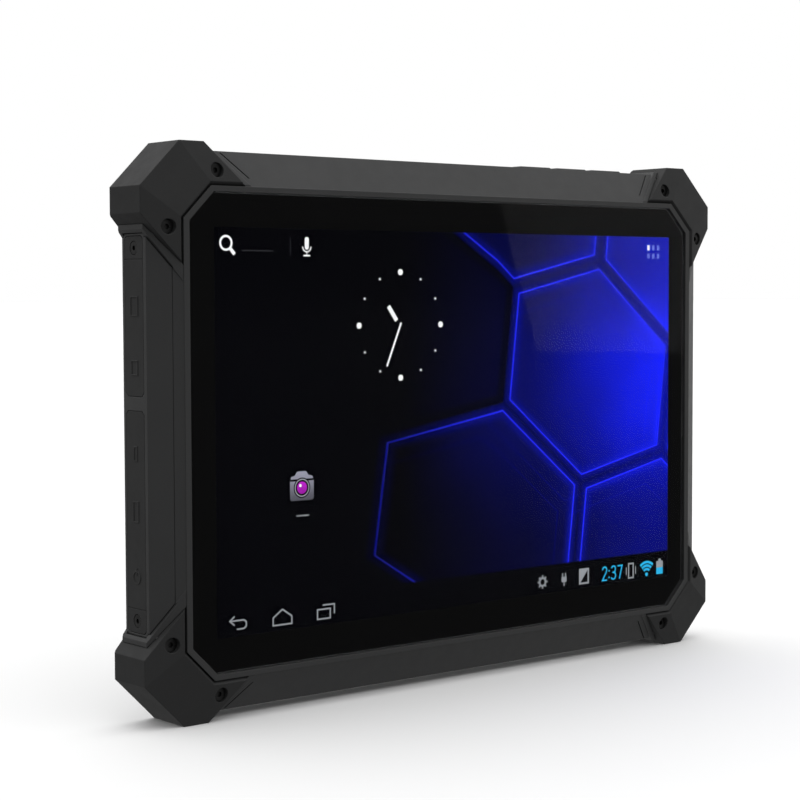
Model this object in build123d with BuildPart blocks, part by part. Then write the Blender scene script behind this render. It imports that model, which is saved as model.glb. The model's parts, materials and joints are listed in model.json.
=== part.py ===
from build123d import *
import os

os.makedirs("parts", exist_ok=True)

# Rugged 10.1 inch tablet, standing on its lower corner bumpers.
# +X is to the right of the screen, the screen faces -Y, +Z is up.
# Heights in the outlines below are measured from the middle of the glass.

# Overall size over the bumpers
OVERALL_W = 268.8
OVERALL_H = 190.9
OVERALL_D = 22.4
HALF_W = OVERALL_W / 2
HALF_H = OVERALL_H / 2
MID_Z = HALF_H
FRONT_Y = -OVERALL_D / 2
REAR_Y = OVERALL_D / 2
CORNER_LEG = 14.95

# Screen: panel with a 216.96 x 135.6 mm active area
ACTIVE_W = 216.96
ACTIVE_H = 135.6
ACTIVE_SHIFT_X = 1.2
GLASS_HALF_W = HALF_W - 16.8
GLASS_HALF_H = HALF_H - 16.45
GLASS_LEG = 9.5
GLASS_T = 1.1
GLASS_GAP = 0.2
GLASS_Y = FRONT_Y + 0.9
GLASS_BACK_Y = GLASS_Y + GLASS_T
MASK_T = 0.08
TAPE_T = 0.12
SHELF_Y = GLASS_BACK_Y + MASK_T + TAPE_T
PANEL_GAP = 0.1
CELL_T = 1.6
BACKLIGHT_T = 2.4
SCREEN_HALF_W = 112.5
SCREEN_HALF_H = 71.5
SCREEN_LEG = 0.4
SCREEN_GAP = 0.4
CELL_Y = GLASS_BACK_Y + PANEL_GAP
BACKLIGHT_Y = CELL_Y + CELL_T
BACKLIGHT_BACK_Y = BACKLIGHT_Y + BACKLIGHT_T

# Housing envelope
LIP_W = GLASS_HALF_W + 2.4
LIP_H = GLASS_HALF_H + 2.1
LIP_LEG = 10.8
LIP_Y = GLASS_Y - 0.6
LIP_STEP_Y = LIP_Y + 0.3
BODY_W = HALF_W - 4.3
BODY_H = HALF_H - 2.65
BODY_LEG = 16.0
SLOPE_Y = GLASS_Y + 6.2
BACK_Y = REAR_Y - 0.5
BACK_CHAMFER = 0.5
SHOULDER_W = BODY_W + 1.5
SHOULDER_H = BODY_H + 0.9
SHOULDER_LEG = 16.6
SHOULDER_LIFT = 0.6

# Short decorative grooves beside the shoulders
GROOVE_RUN = 9.2
GROOVE_Z0 = HALF_H - 11.6
GROOVE_Z1 = HALF_H - 3.3
GROOVE_HALF = 0.3
GROOVE_DEEP = 0.6

# Bumper ends: the top arm ends on a 45 degree line, the side arm on a steeper one
TOP_END_RUN = HALF_W - HALF_H - 24.55
SIDE_END_X = HALF_W
SIDE_END_Z = HALF_H - 23.85
SIDE_END_SLOPE = 1.145
TOP_SHOULDER_RUN = TOP_END_RUN - 2.5
BUMPER_GAP = 0.15
BUMPER_REAR_LEG = 14.6
EDGE_FRONT_Y = GLASS_Y + 2.5

# Housing core under the bumpers
CORE_W = HALF_W - 5.4
CORE_H = HALF_H - 4.45
CORE_LEG = 15.0
CORE_FRONT_Y = GLASS_Y + 3.9
CORE_BACK_Y = REAR_Y - 2.1
NECK_FRONT_Y = CORE_FRONT_Y - 2.6
NECK_T = 0.8
NECK_LEG = 8.5

# Three keys on the top edge
KEY_L = 15.5
KEY_D = 5.0
KEY_Y = 0.5
KEY_SPACING = 3.3
KEY_FIRST_X = 43.9
KEY_GAP = 0.2
KEY_FLANGE = 1.0
KEY_PROUD = 0.7
KEY_TRAVEL = 0.6
KEY_BEVEL = 0.3
KEY_PITCH = KEY_L + KEY_SPACING
KEY_X = (KEY_FIRST_X, KEY_FIRST_X + KEY_PITCH, KEY_FIRST_X + 2 * KEY_PITCH)

# Cavity and rear cover
CAVITY_W = LIP_W + 1.5
CAVITY_H = LIP_H + 1.9
CAVITY_LEG = 8.0
CAVITY_Y = SHELF_Y + 1.6
SIDE_BAY_W = BODY_W - 2.5
SIDE_BAY_H = 52.0
TOP_BAY_W = KEY_X[2] + KEY_L / 2 + KEY_FLANGE + 1.75
TOP_BAY_H = BODY_H - 2.5
KEY_BASE_Z = TOP_BAY_H - 1.2
KEY_BOARD_Z = TOP_BAY_H - 8.1
KEY_BOARD_T = 1.0
BAY_FRONT_Y = SLOPE_Y + 0.8
COVER_T = 2.4
SEAL_T = 0.4
COVER_INNER_Y = BACK_Y - COVER_T
LEDGE_Y = COVER_INNER_Y - SEAL_T
REAR_RECESS_W = CAVITY_W + 2.1
REAR_RECESS_H = CAVITY_H + 2.6
REAR_RECESS_LEG = 12.0
COVER_GAP = 0.2
RIM_W = REAR_RECESS_W + 1.0
RIM_H = REAR_RECESS_H + 1.0
RIM_LEG = 13.0
LEFT_RIM_Y = LEDGE_Y - 0.6

# Fasteners
M25_R = 1.25
M25_HOLE_R = 1.3
M2_R = 1.0
M2_HOLE_R = 1.05
PILLAR_R = 3.6
PILLAR_X = CAVITY_W - 13.5
PILLAR_Z = CAVITY_H - 3.2
BOSS_R = 2.6
BUMPER_SCREW_SIDE = (HALF_W - 9.2, HALF_H - 27.95)
BUMPER_SCREW_TOP = (HALF_W - 28.0, HALF_H - 9.3)
BUMPER_HEAD_R = 2.25
BUMPER_BORE_R = 2.5
BUMPER_HEAD_Y = FRONT_Y + 2.3
BUMPER_HEAD_T = 1.5
BUMPER_SEAT_Y = BUMPER_HEAD_Y + BUMPER_HEAD_T

# Side panel and its two port covers
PANEL_X = -(LIP_W + 3.1)
PANEL_HALF_H = LIP_H - 26.9
PANEL_SLOPE = 1.4286
PANEL_END_Z = HALF_H - 29.95
PANEL_STEP_Y = SLOPE_Y + 1.1
PANEL_FIT = 0.15
COVER_Y0 = GLASS_Y + 8.1
COVER_Y1 = GLASS_Y + 19.0
COVER_MID_Y = (COVER_Y0 + COVER_Y1) / 2
COVER_FLOOR_X = -(BODY_W - 1.8)
COVER_BACK_X = COVER_FLOOR_X - 0.1
COVER_FACE_X = -BODY_W
RECESS_GAP = 0.2
UPPER_TOP_Z = 64.6
UPPER_HINGE_Z = 57.2
UPPER_END_Z = 12.8
LOWER_TOP_Z = 7.9
LOWER_HINGE_Z = -56.7
LOWER_END_Z = -64.6
HINGE_GAP = 0.3
HINGE_HALF = HINGE_GAP / 2
FAR = 100.0
END_ROUND = 1.8
PULL_CLIP = 1.3
PLUG_T = 1.3
PLUG_GAP = 0.35
ICON_T = 0.18
COVER_SCREW_R = 2.1
COVER_SCREW_BORE_R = 2.3
COVER_SCREW_UPPER_Z = 60.8
COVER_SCREW_LOWER_Z = -60.8

# Ports, as (middle height, width, depth of the shell in Y)
PORT_MOUTH_X = COVER_FLOOR_X + 2.0
PORT_GAP = 0.2
SIM_PORT = (42.0, 15.6, 2.5)
CARD_PORT = (22.0, 14.0, 1.9)
USB_C_PORT = (-6.0, 8.94, 3.2)
USB_A_PORT = (-25.0, 13.1, 5.6)
POWER_PORT = (-46.5, 9.0, 6.5)
PORTS = (SIM_PORT, CARD_PORT, USB_C_PORT, USB_A_PORT, POWER_PORT)

# Chassis and main board
CHASSIS_Y0 = BACKLIGHT_BACK_Y + 0.2
CHASSIS_T = 1.2
CHASSIS_Y1 = CHASSIS_Y0 + CHASSIS_T
CHASSIS_W = CAVITY_W - 0.6
CHASSIS_H = CAVITY_H - 0.6
BOARD_Y0 = CHASSIS_Y1 + 3.0
BOARD_T = 1.2
BOARD_Y1 = BOARD_Y0 + BOARD_T
BOARD_X0 = -CAVITY_W + 0.9
BOARD_X1 = -30.0
BOARD_HALF_H = 73.5
BOARD_SCREWS = ((-113, 66), (-113, -68), (-36, 66), (-36, -66), (-66, 0))
CHASSIS_SCREWS = tuple(
    [(sx * (CAVITY_W - 3.5), sz * 35) for sx in (-1, 1) for sz in (-1, 1)]
    + [(sx * 75, sz * (CAVITY_H - 4)) for sx in (-1, 1) for sz in (-1, 1)]
)
CORNER_PILLARS = [(sx * PILLAR_X, sz * PILLAR_Z) for sx in (-1, 1) for sz in (-1, 1)]
MIDDLE_PILLARS = [(-42, PILLAR_Z), (24, PILLAR_Z), (-42, -PILLAR_Z), (42, -PILLAR_Z)]
PILLARS = tuple(CORNER_PILLARS + MIDDLE_PILLARS)

# Battery bay in the rear cover
BATTERY_X0 = -22.0
BATTERY_X1 = 86.0
BATTERY_HALF_H = 61.0
BATTERY_GAP = 0.4
TRAY_WALL = 1.2
TRAY_Y0 = BOARD_Y0 + 0.3
DOOR_FLANGE = 8.6
DOOR_LEDGE_Y = BACK_Y - 1.7
DOOR_SEAL_T = 0.2
DOOR_SCREW_X = (BATTERY_X0 - 4.7, (BATTERY_X0 + BATTERY_X1) / 2, BATTERY_X1 + 4.7)
DOOR_SCREW_Z = BATTERY_HALF_H + 4.7

# Rear features
STRAP_X = 104.0
STRAP_Z = 70.0
INSERT_R = 3.0
INSERT_BORE_R = 1.65
INSERT_L = 5.0
CAMERA_X = -88.0
CAMERA_Z = 63.0
FLASH_X = -73.0
FLASH_Z = 63.0
SPEAKER_X0 = 98.0
SPEAKER_X1 = 118.0
SPEAKER_Z = 26.0


def octagon(half_w, half_h, leg):
    """Corner points (x, height) of a rectangle with 45 degree corners."""
    w = half_w - leg
    h = half_h - leg
    return [
        (-w, -half_h),
        (w, -half_h),
        (half_w, -h),
        (half_w, h),
        (w, half_h),
        (-w, half_h),
        (-half_w, h),
        (-half_w, -h),
    ]


def face_at(points, y):
    """Flat outline facing the front, at depth y."""
    plane = Plane(origin=(0, y, MID_Z), x_dir=(1, 0, 0), z_dir=(0, -1, 0))
    return plane * make_face(Polyline(*points, close=True))


def prism(points, y_front, y_back):
    """Outline pulled forward from y_back to y_front."""
    return extrude(face_at(points, y_back), amount=y_back - y_front, dir=(0, -1, 0))


def frustum(points_front, y_front, points_back, y_back):
    """Solid with straight walls between two outlines."""
    return loft([face_at(points_front, y_front), face_at(points_back, y_back)], ruled=True)


def prism_x(points, x_low, x_high):
    """Outline in (y, height) pulled along +X."""
    plane = Plane(origin=(x_low, 0, MID_Z), x_dir=(0, 1, 0), z_dir=(1, 0, 0))
    return extrude(plane * make_face(Polyline(*points, close=True)), amount=x_high - x_low, dir=(1, 0, 0))


def corner_region(sx, sz, gap):
    """Prism over the corner of the body that one bumper covers."""
    x_in = HALF_W - 74.4
    x_side = HALF_W - 22.4
    x_out = HALF_W + 15.6
    z_out = HALF_H + 10.0
    points = [
        (x_in + gap, x_in - TOP_END_RUN),
        (x_side, SIDE_END_Z + (x_side - SIDE_END_X) * SIDE_END_SLOPE + gap),
        (x_out, SIDE_END_Z + (x_out - SIDE_END_X) * SIDE_END_SLOPE + gap),
        (x_out, z_out),
        (z_out + TOP_END_RUN + gap, z_out),
    ]
    return prism([(sx * x, sz * z) for x, z in points], FRONT_Y - 1, REAR_Y + 1)


def shoulder_region(sx, sz):
    """Corner prism widened by the raised shoulders beside the bumper's two ends."""
    x_in = HALF_W - 74.4
    x_side = HALF_W - 18.4
    x_out = HALF_W + 15.6
    z_out = HALF_H + 10.0
    points = [
        (x_in, x_in - TOP_SHOULDER_RUN),
        (x_side, PANEL_HALF_H + (x_side + PANEL_X) * PANEL_SLOPE),
        (x_out, PANEL_HALF_H + (x_out + PANEL_X) * PANEL_SLOPE),
        (x_out, z_out),
        (z_out + TOP_SHOULDER_RUN, z_out),
    ]
    return prism([(sx * x, sz * z) for x, z in points], FRONT_Y - 1, REAR_Y + 1)


def body_envelope(half_w, half_h, leg, lift):
    """Body with a sloped border round the screen and a small rear chamfer."""
    outer = octagon(half_w, half_h, leg)
    small = octagon(half_w - BACK_CHAMFER, half_h - BACK_CHAMFER, leg - BACK_CHAMFER * 0.6)
    lip = octagon(LIP_W + lift, LIP_H + lift, LIP_LEG + lift * 0.6)
    front = frustum(lip, LIP_STEP_Y, outer, SLOPE_Y - lift)
    middle = prism(outer, SLOPE_Y - lift, BACK_Y - BACK_CHAMFER)
    rear = frustum(outer, BACK_Y - BACK_CHAMFER, small, BACK_Y)
    return front + middle + rear


def block(x0, x1, y0, y1, z0, z1, mode=Mode.ADD):
    """Box between corners; heights are from the middle of the glass."""
    with Locations(((x0 + x1) / 2, (y0 + y1) / 2, MID_Z + (z0 + z1) / 2)):
        Box(x1 - x0, y1 - y0, z1 - z0, mode=mode)


def rod_y(x, z, radius, y0, y1, mode=Mode.ADD):
    """Cylinder along Y."""
    with Locations((x, (y0 + y1) / 2, MID_Z + z)):
        Cylinder(radius, y1 - y0, rotation=(90, 0, 0), mode=mode)


def rod_x(y, z, radius, x0, x1, mode=Mode.ADD):
    """Cylinder along X."""
    with Locations(((x0 + x1) / 2, y, MID_Z + z)):
        Cylinder(radius, x1 - x0, rotation=(0, 90, 0), mode=mode)


def port_block(port, x0, x1, grow, mode=Mode.ADD):
    """Box on a port's section, grown on each side."""
    height, width, depth = port
    z0 = height - width / 2 - grow
    z1 = height + width / 2 + grow
    block(x0, x1, BOARD_Y1 - grow, BOARD_Y1 + depth + grow, z0, z1, mode=mode)


def cover_outline(z_hinge_end, z_pull_end, grow):
    """Port cover outline in (y, height) with clipped corners at the pull end."""
    side = 1 if z_pull_end > z_hinge_end else -1
    y0 = COVER_Y0 - grow
    y1 = COVER_Y1 + grow
    z0 = z_hinge_end - side * grow
    z1 = z_pull_end + side * grow
    return [
        (y0, z0),
        (y1, z0),
        (y1, z1 - side * PULL_CLIP),
        (y1 - PULL_CLIP, z1),
        (y0 + PULL_CLIP, z1),
        (y0, z1 - side * PULL_CLIP),
    ]


def rounded_end(solid, top):
    """Rounds the two corners at the screwed end of a port cover."""
    rows = solid.edges().filter_by(Axis.X).group_by(Axis.Z)
    return fillet(rows[-1] if top else rows[0], radius=END_ROUND)


def panel_region(fit):
    """Prism over the left trim, which follows the shoulders in front and runs on beside the covers."""
    reach = HALF_W + PANEL_X + 1
    x_in = PANEL_X + fit
    x_out = PANEL_X - reach
    z_in = PANEL_HALF_H + 2 * fit
    z_out = z_in + reach * PANEL_SLOPE
    z_end = PANEL_END_Z + fit
    sloped = [(x_in, -z_in), (x_in, z_in), (x_out, z_out), (x_out, -z_out)]
    straight = [(x_in, -z_end), (x_in, z_end), (x_out, z_end), (x_out, -z_end)]
    behind = prism(straight, PANEL_STEP_Y - fit, CORE_BACK_Y + fit)
    return prism(sloped, FRONT_Y - 1, REAR_Y + 1) + behind


def groove(sx, sz):
    """Thin slanting bar over one end of a long border."""
    points = [
        (GROOVE_Z0 + GROOVE_RUN - GROOVE_HALF, GROOVE_Z0),
        (GROOVE_Z0 + GROOVE_RUN + GROOVE_HALF, GROOVE_Z0),
        (GROOVE_Z1 + GROOVE_RUN + GROOVE_HALF, GROOVE_Z1),
        (GROOVE_Z1 + GROOVE_RUN - GROOVE_HALF, GROOVE_Z1),
    ]
    return prism([(sx * x, sz * z) for x, z in points], FRONT_Y, 0)


# Shared shapes
LIP = octagon(LIP_W, LIP_H, LIP_LEG)
GLASS = octagon(GLASS_HALF_W, GLASS_HALF_H, GLASS_LEG)
RIM = octagon(RIM_W, RIM_H, RIM_LEG)
CAVITY = octagon(CAVITY_W, CAVITY_H, CAVITY_LEG)
NECK = octagon(CAVITY_W + NECK_T, CAVITY_H + NECK_T, NECK_LEG)
CORE = octagon(CORE_W, CORE_H, CORE_LEG)
CORNERS = ((-1, 1), (1, 1), (-1, -1), (1, -1))
plain_body = body_envelope(BODY_W, BODY_H, BODY_LEG, 0)
shoulder_body = body_envelope(SHOULDER_W, SHOULDER_H, SHOULDER_LEG, SHOULDER_LIFT)
corner_core = prism(LIP, LIP_Y, CAVITY_Y)
corner_core += prism(NECK, NECK_FRONT_Y, CORE_FRONT_Y)
corner_core += prism(CORE, CORE_FRONT_Y, CORE_BACK_Y)
corner_core += prism(RIM, 0, BACK_Y)
corner_fill = [corner_core & corner_region(sx, sz, 0) for sx, sz in CORNERS]
corner_cuts = [corner_region(sx, sz, 0) for sx, sz in CORNERS]
shoulders = [shoulder_body & shoulder_region(sx, sz) for sx, sz in CORNERS]
groove_floor = Location((0, GROOVE_DEEP, 0)) * plain_body
groove_cuts = [groove(sx, sz) - groove_floor for sx, sz in CORNERS]

GLASS_POCKET = octagon(GLASS_HALF_W + GLASS_GAP, GLASS_HALF_H + GLASS_GAP, GLASS_LEG + 0.1)
SCREEN_POCKET = octagon(SCREEN_HALF_W + SCREEN_GAP, SCREEN_HALF_H + SCREEN_GAP, SCREEN_LEG)
REAR_POCKET = octagon(REAR_RECESS_W, REAR_RECESS_H, REAR_RECESS_LEG)
glass_hole = prism(GLASS_POCKET, FRONT_Y, SHELF_Y)
screen_hole = prism(SCREEN_POCKET, FRONT_Y, CAVITY_Y)
cavity = prism(CAVITY, CAVITY_Y, REAR_Y)
rear_recess = prism(REAR_POCKET, LEDGE_Y, REAR_Y)
panel_notch = panel_region(PANEL_FIT)
panel_blank = plain_body & panel_region(0)
left_rim = (prism(RIM, LEFT_RIM_Y, BACK_Y) & panel_notch) - cavity - rear_recess
left_rim_clear = prism(octagon(RIM_W + PANEL_FIT, RIM_H + PANEL_FIT, RIM_LEG), LEFT_RIM_Y - PANEL_FIT, REAR_Y)
lip_edge = prism(LIP, LIP_Y, LIP_STEP_Y)

with BuildPart() as housing:
    add(plain_body)
    add(lip_edge)
    for piece in shoulders:
        add(piece)
    for piece in corner_cuts:
        add(piece, mode=Mode.SUBTRACT)
    for piece in corner_fill:
        add(piece)
    for piece in groove_cuts:
        add(piece, mode=Mode.SUBTRACT)
    add(glass_hole, mode=Mode.SUBTRACT)
    add(screen_hole, mode=Mode.SUBTRACT)
    add(cavity, mode=Mode.SUBTRACT)
    add(rear_recess, mode=Mode.SUBTRACT)
    add(panel_notch, mode=Mode.SUBTRACT)
    add(left_rim)
    block(-TOP_BAY_W, TOP_BAY_W, BAY_FRONT_Y, LEDGE_Y, -TOP_BAY_H, TOP_BAY_H, mode=Mode.SUBTRACT)
    block(0, SIDE_BAY_W, BAY_FRONT_Y, LEDGE_Y, -SIDE_BAY_H, SIDE_BAY_H, mode=Mode.SUBTRACT)
    for pillar_x, pillar_z in PILLARS:
        rod_y(pillar_x, pillar_z, PILLAR_R, CAVITY_Y, LEDGE_Y)
    for pillar_x, pillar_z in PILLARS:
        rod_y(pillar_x, pillar_z, M25_HOLE_R, 0, LEDGE_Y, mode=Mode.SUBTRACT)
    for boss_x, boss_z in CHASSIS_SCREWS:
        rod_y(boss_x, boss_z, BOSS_R, CAVITY_Y, CHASSIS_Y0)
        rod_y(boss_x, boss_z, M2_HOLE_R, CAVITY_Y + 0.5, CHASSIS_Y0, mode=Mode.SUBTRACT)
    for boss_z in (COVER_SCREW_UPPER_Z, COVER_SCREW_LOWER_Z):
        rod_x(COVER_MID_Y, boss_z, BOSS_R, PANEL_X + PANEL_FIT, -CAVITY_W + 5)
        rod_x(COVER_MID_Y, boss_z, M25_HOLE_R, PANEL_X, -CAVITY_W + 4, mode=Mode.SUBTRACT)
    for port in PORTS:
        port_block(port, -RIM_W - 1, -CAVITY_W + 1, PORT_GAP, mode=Mode.SUBTRACT)
    for sx, sz in CORNERS:
        for screw_x, screw_z in (BUMPER_SCREW_SIDE, BUMPER_SCREW_TOP):
            rod_y(sx * screw_x, sz * screw_z, M25_HOLE_R, CORE_FRONT_Y, 1.5, mode=Mode.SUBTRACT)
    for key_x in KEY_X:
        half = KEY_L / 2 + KEY_GAP
        y0 = KEY_Y - KEY_D / 2 - KEY_GAP
        y1 = KEY_Y + KEY_D / 2 + KEY_GAP
        block(key_x - half, key_x + half, y0, y1, TOP_BAY_H - 1, BODY_H + 2, mode=Mode.SUBTRACT)
housing.part.label = "housing"
export_step(housing.part, "parts/housing.step")


# Left trim with the two covered port bays
UPPER_RECESS = cover_outline(UPPER_TOP_Z, UPPER_END_Z, RECESS_GAP)
LOWER_RECESS = cover_outline(LOWER_END_Z, LOWER_TOP_Z, RECESS_GAP)
UPPER_COVER = cover_outline(UPPER_TOP_Z, UPPER_END_Z, 0)
LOWER_COVER = cover_outline(LOWER_END_Z, LOWER_TOP_Z, 0)
upper_recess = rounded_end(prism_x(UPPER_RECESS, -HALF_W, COVER_FLOOR_X), True)
lower_recess = rounded_end(prism_x(LOWER_RECESS, -HALF_W, COVER_FLOOR_X), False)
upper_cover = rounded_end(prism_x(UPPER_COVER, COVER_FACE_X, COVER_BACK_X), True)
lower_cover = rounded_end(prism_x(LOWER_COVER, COVER_FACE_X, COVER_BACK_X), False)

with BuildPart() as side_panel:
    add(panel_blank)
    add(upper_recess, mode=Mode.SUBTRACT)
    add(lower_recess, mode=Mode.SUBTRACT)
    add(left_rim_clear, mode=Mode.SUBTRACT)
    for port in PORTS:
        port_block(port, -BODY_W, PANEL_X + 1, PORT_GAP, mode=Mode.SUBTRACT)
    for screw_z in (COVER_SCREW_UPPER_Z, COVER_SCREW_LOWER_Z):
        rod_x(COVER_MID_Y, screw_z, M25_HOLE_R, COVER_FLOOR_X - 1, PANEL_X + 1, mode=Mode.SUBTRACT)
side_panel.part.label = "side_panel"
export_step(side_panel.part, "parts/side_panel.step")


def keep_between(z0, z1):
    """Trims the current piece to a height range."""
    block(-HALF_W - 1, 0, FRONT_Y, REAR_Y, z1, FAR, mode=Mode.SUBTRACT)
    block(-HALF_W - 1, 0, FRONT_Y, REAR_Y, -FAR, z0, mode=Mode.SUBTRACT)


def cover_tab(cover, z0, z1, screw_z):
    """Fixed end of a port cover with its countersunk screw hole."""
    add(cover)
    keep_between(z0, z1)
    rod_x(COVER_MID_Y, screw_z, COVER_SCREW_BORE_R, COVER_FACE_X, COVER_FACE_X + 1.1, mode=Mode.SUBTRACT)
    rod_x(COVER_MID_Y, screw_z, M25_HOLE_R, COVER_FACE_X, COVER_BACK_X, mode=Mode.SUBTRACT)


def cover_flap(cover, z0, z1, ports):
    """Swinging part of a port cover with a plug for each port."""
    add(cover)
    keep_between(z0, z1)
    for port in ports:
        port_block(port, COVER_BACK_X, COVER_BACK_X + PLUG_T, PORT_GAP - PLUG_GAP)


def icon_frame(port, width, depth):
    """Raised outline on a flap that shows the shape of the port behind it."""
    height = port[0]
    x0 = COVER_FACE_X - ICON_T
    y0 = COVER_MID_Y - depth / 2
    y1 = COVER_MID_Y + depth / 2
    z0 = height - width / 2
    z1 = height + width / 2
    block(x0, COVER_FACE_X, y0, y1, z0, z0 + 0.4)
    block(x0, COVER_FACE_X, y0, y1, z1 - 0.4, z1)
    block(x0, COVER_FACE_X, y0, y0 + 0.4, z0 + 0.4, z1 - 0.4)
    block(x0, COVER_FACE_X, y1 - 0.4, y1, z0 + 0.4, z1 - 0.4)


with BuildPart() as upper_cover_tab:
    cover_tab(upper_cover, UPPER_HINGE_Z + HINGE_HALF, FAR - 1, COVER_SCREW_UPPER_Z)
upper_cover_tab.part.label = "upper_cover_tab"
export_step(upper_cover_tab.part, "parts/upper_cover_tab.step")

with BuildPart() as upper_cover_flap:
    cover_flap(upper_cover, -FAR + 1, UPPER_HINGE_Z - HINGE_HALF, (SIM_PORT, CARD_PORT))
    icon_frame(SIM_PORT, 6.5, 4.6)
    icon_frame(CARD_PORT, 5.0, 4.0)
upper_cover_flap.part.label = "upper_cover_flap"
export_step(upper_cover_flap.part, "parts/upper_cover_flap.step")

with BuildPart() as lower_cover_tab:
    cover_tab(lower_cover, -FAR + 1, LOWER_HINGE_Z - HINGE_HALF, COVER_SCREW_LOWER_Z)
lower_cover_tab.part.label = "lower_cover_tab"
export_step(lower_cover_tab.part, "parts/lower_cover_tab.step")

with BuildPart() as lower_cover_flap:
    cover_flap(lower_cover, LOWER_HINGE_Z + HINGE_HALF, FAR - 1, (USB_C_PORT, USB_A_PORT, POWER_PORT))
    icon_frame(USB_C_PORT, 5.0, 2.2)
    icon_frame(USB_A_PORT, 7.0, 3.4)
    rod_x(COVER_MID_Y, POWER_PORT[0], 2.3, COVER_FACE_X - ICON_T, COVER_FACE_X)
    rod_x(COVER_MID_Y, POWER_PORT[0], 1.8, COVER_FACE_X - ICON_T, COVER_FACE_X, mode=Mode.SUBTRACT)
    z_mark = POWER_PORT[0] + 0.6
    block(COVER_FACE_X - ICON_T, COVER_FACE_X, COVER_MID_Y - 0.2, COVER_MID_Y + 0.2, z_mark, z_mark + 2.6)
lower_cover_flap.part.label = "lower_cover_flap"
export_step(lower_cover_flap.part, "parts/lower_cover_flap.step")

with BuildPart() as cover_screws:
    for screw_z in (COVER_SCREW_UPPER_Z, COVER_SCREW_LOWER_Z):
        rod_x(COVER_MID_Y, screw_z, COVER_SCREW_R, COVER_FACE_X + 0.1, COVER_FACE_X + 1.1)
        rod_x(COVER_MID_Y, screw_z, M25_R, COVER_FACE_X + 1.1, -CAVITY_W + 3.5)
        rod_x(COVER_MID_Y, screw_z, 0.8, COVER_FACE_X + 0.1, COVER_FACE_X + 0.7, mode=Mode.SUBTRACT)
cover_screws.part.label = "cover_screws"
export_step(cover_screws.part, "parts/cover_screws.step")

# Corner bumpers: a sloped front, a wall round the corner and a rear flange
bumper_front = frustum(
    octagon(LIP_W + 1.3, LIP_H + 1.3, LIP_LEG + 0.8),
    FRONT_Y,
    octagon(HALF_W, HALF_H, CORNER_LEG),
    EDGE_FRONT_Y,
)
bumper_wall = prism(octagon(HALF_W, HALF_H, CORNER_LEG), EDGE_FRONT_Y, REAR_Y - 0.6)
bumper_rear = frustum(
    octagon(HALF_W, HALF_H, CORNER_LEG),
    REAR_Y - 0.6,
    octagon(HALF_W - 0.6, HALF_H - 0.6, BUMPER_REAR_LEG),
    REAR_Y,
)
inner_edge = frustum(
    octagon(LIP_W + 1.3, LIP_H + 1.3, LIP_LEG + 0.8),
    FRONT_Y,
    octagon(LIP_W + 0.25, LIP_H + 0.25, LIP_LEG + 0.15),
    FRONT_Y + 1.2,
)
lip_clear = prism(octagon(LIP_W + 0.25, LIP_H + 0.25, LIP_LEG + 0.15), FRONT_Y, 0)
core_clear = prism(
    octagon(CORE_W + BUMPER_GAP, CORE_H + BUMPER_GAP, CORE_LEG),
    CORE_FRONT_Y - BUMPER_GAP,
    CORE_BACK_Y + BUMPER_GAP,
)
neck_clear = prism(
    octagon(CAVITY_W + NECK_T + BUMPER_GAP, CAVITY_H + NECK_T + BUMPER_GAP, NECK_LEG),
    NECK_FRONT_Y - BUMPER_GAP,
    CORE_FRONT_Y,
)
rim_clear = prism(octagon(RIM_W + 0.2, RIM_H + 0.2, RIM_LEG), 0, REAR_Y)
bumper_ring = bumper_front + bumper_wall + bumper_rear
bumper_ring = bumper_ring - inner_edge - lip_clear - core_clear - neck_clear - rim_clear
bumper_blanks = [bumper_ring & corner_region(sx, sz, BUMPER_GAP) for sx, sz in CORNERS]


def corner_bumper(index):
    """One corner bumper with its two screw wells."""
    sx, sz = CORNERS[index]
    add(bumper_blanks[index])
    for screw_x, screw_z in (BUMPER_SCREW_SIDE, BUMPER_SCREW_TOP):
        rod_y(sx * screw_x, sz * screw_z, BUMPER_BORE_R, FRONT_Y, BUMPER_SEAT_Y, mode=Mode.SUBTRACT)
        rod_y(sx * screw_x, sz * screw_z, M25_HOLE_R, FRONT_Y, CORE_FRONT_Y, mode=Mode.SUBTRACT)


with BuildPart() as bumper_top_left:
    corner_bumper(0)
bumper_top_left.part.label = "bumper_top_left"
export_step(bumper_top_left.part, "parts/bumper_top_left.step")

with BuildPart() as bumper_top_right:
    corner_bumper(1)
bumper_top_right.part.label = "bumper_top_right"
export_step(bumper_top_right.part, "parts/bumper_top_right.step")

with BuildPart() as bumper_bottom_left:
    corner_bumper(2)
bumper_bottom_left.part.label = "bumper_bottom_left"
export_step(bumper_bottom_left.part, "parts/bumper_bottom_left.step")

with BuildPart() as bumper_bottom_right:
    corner_bumper(3)
bumper_bottom_right.part.label = "bumper_bottom_right"
export_step(bumper_bottom_right.part, "parts/bumper_bottom_right.step")

with BuildPart() as bumper_screws:
    for sx, sz in CORNERS:
        for screw_x, screw_z in (BUMPER_SCREW_SIDE, BUMPER_SCREW_TOP):
            x = sx * screw_x
            z = sz * screw_z
            rod_y(x, z, BUMPER_HEAD_R, BUMPER_HEAD_Y, BUMPER_SEAT_Y)
            rod_y(x, z, M25_R, BUMPER_SEAT_Y, 1.0)
            rod_y(x, z, 0.9, BUMPER_HEAD_Y, BUMPER_HEAD_Y + 0.8, mode=Mode.SUBTRACT)
bumper_screws.part.label = "bumper_screws"
export_step(bumper_screws.part, "parts/bumper_screws.step")

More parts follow.
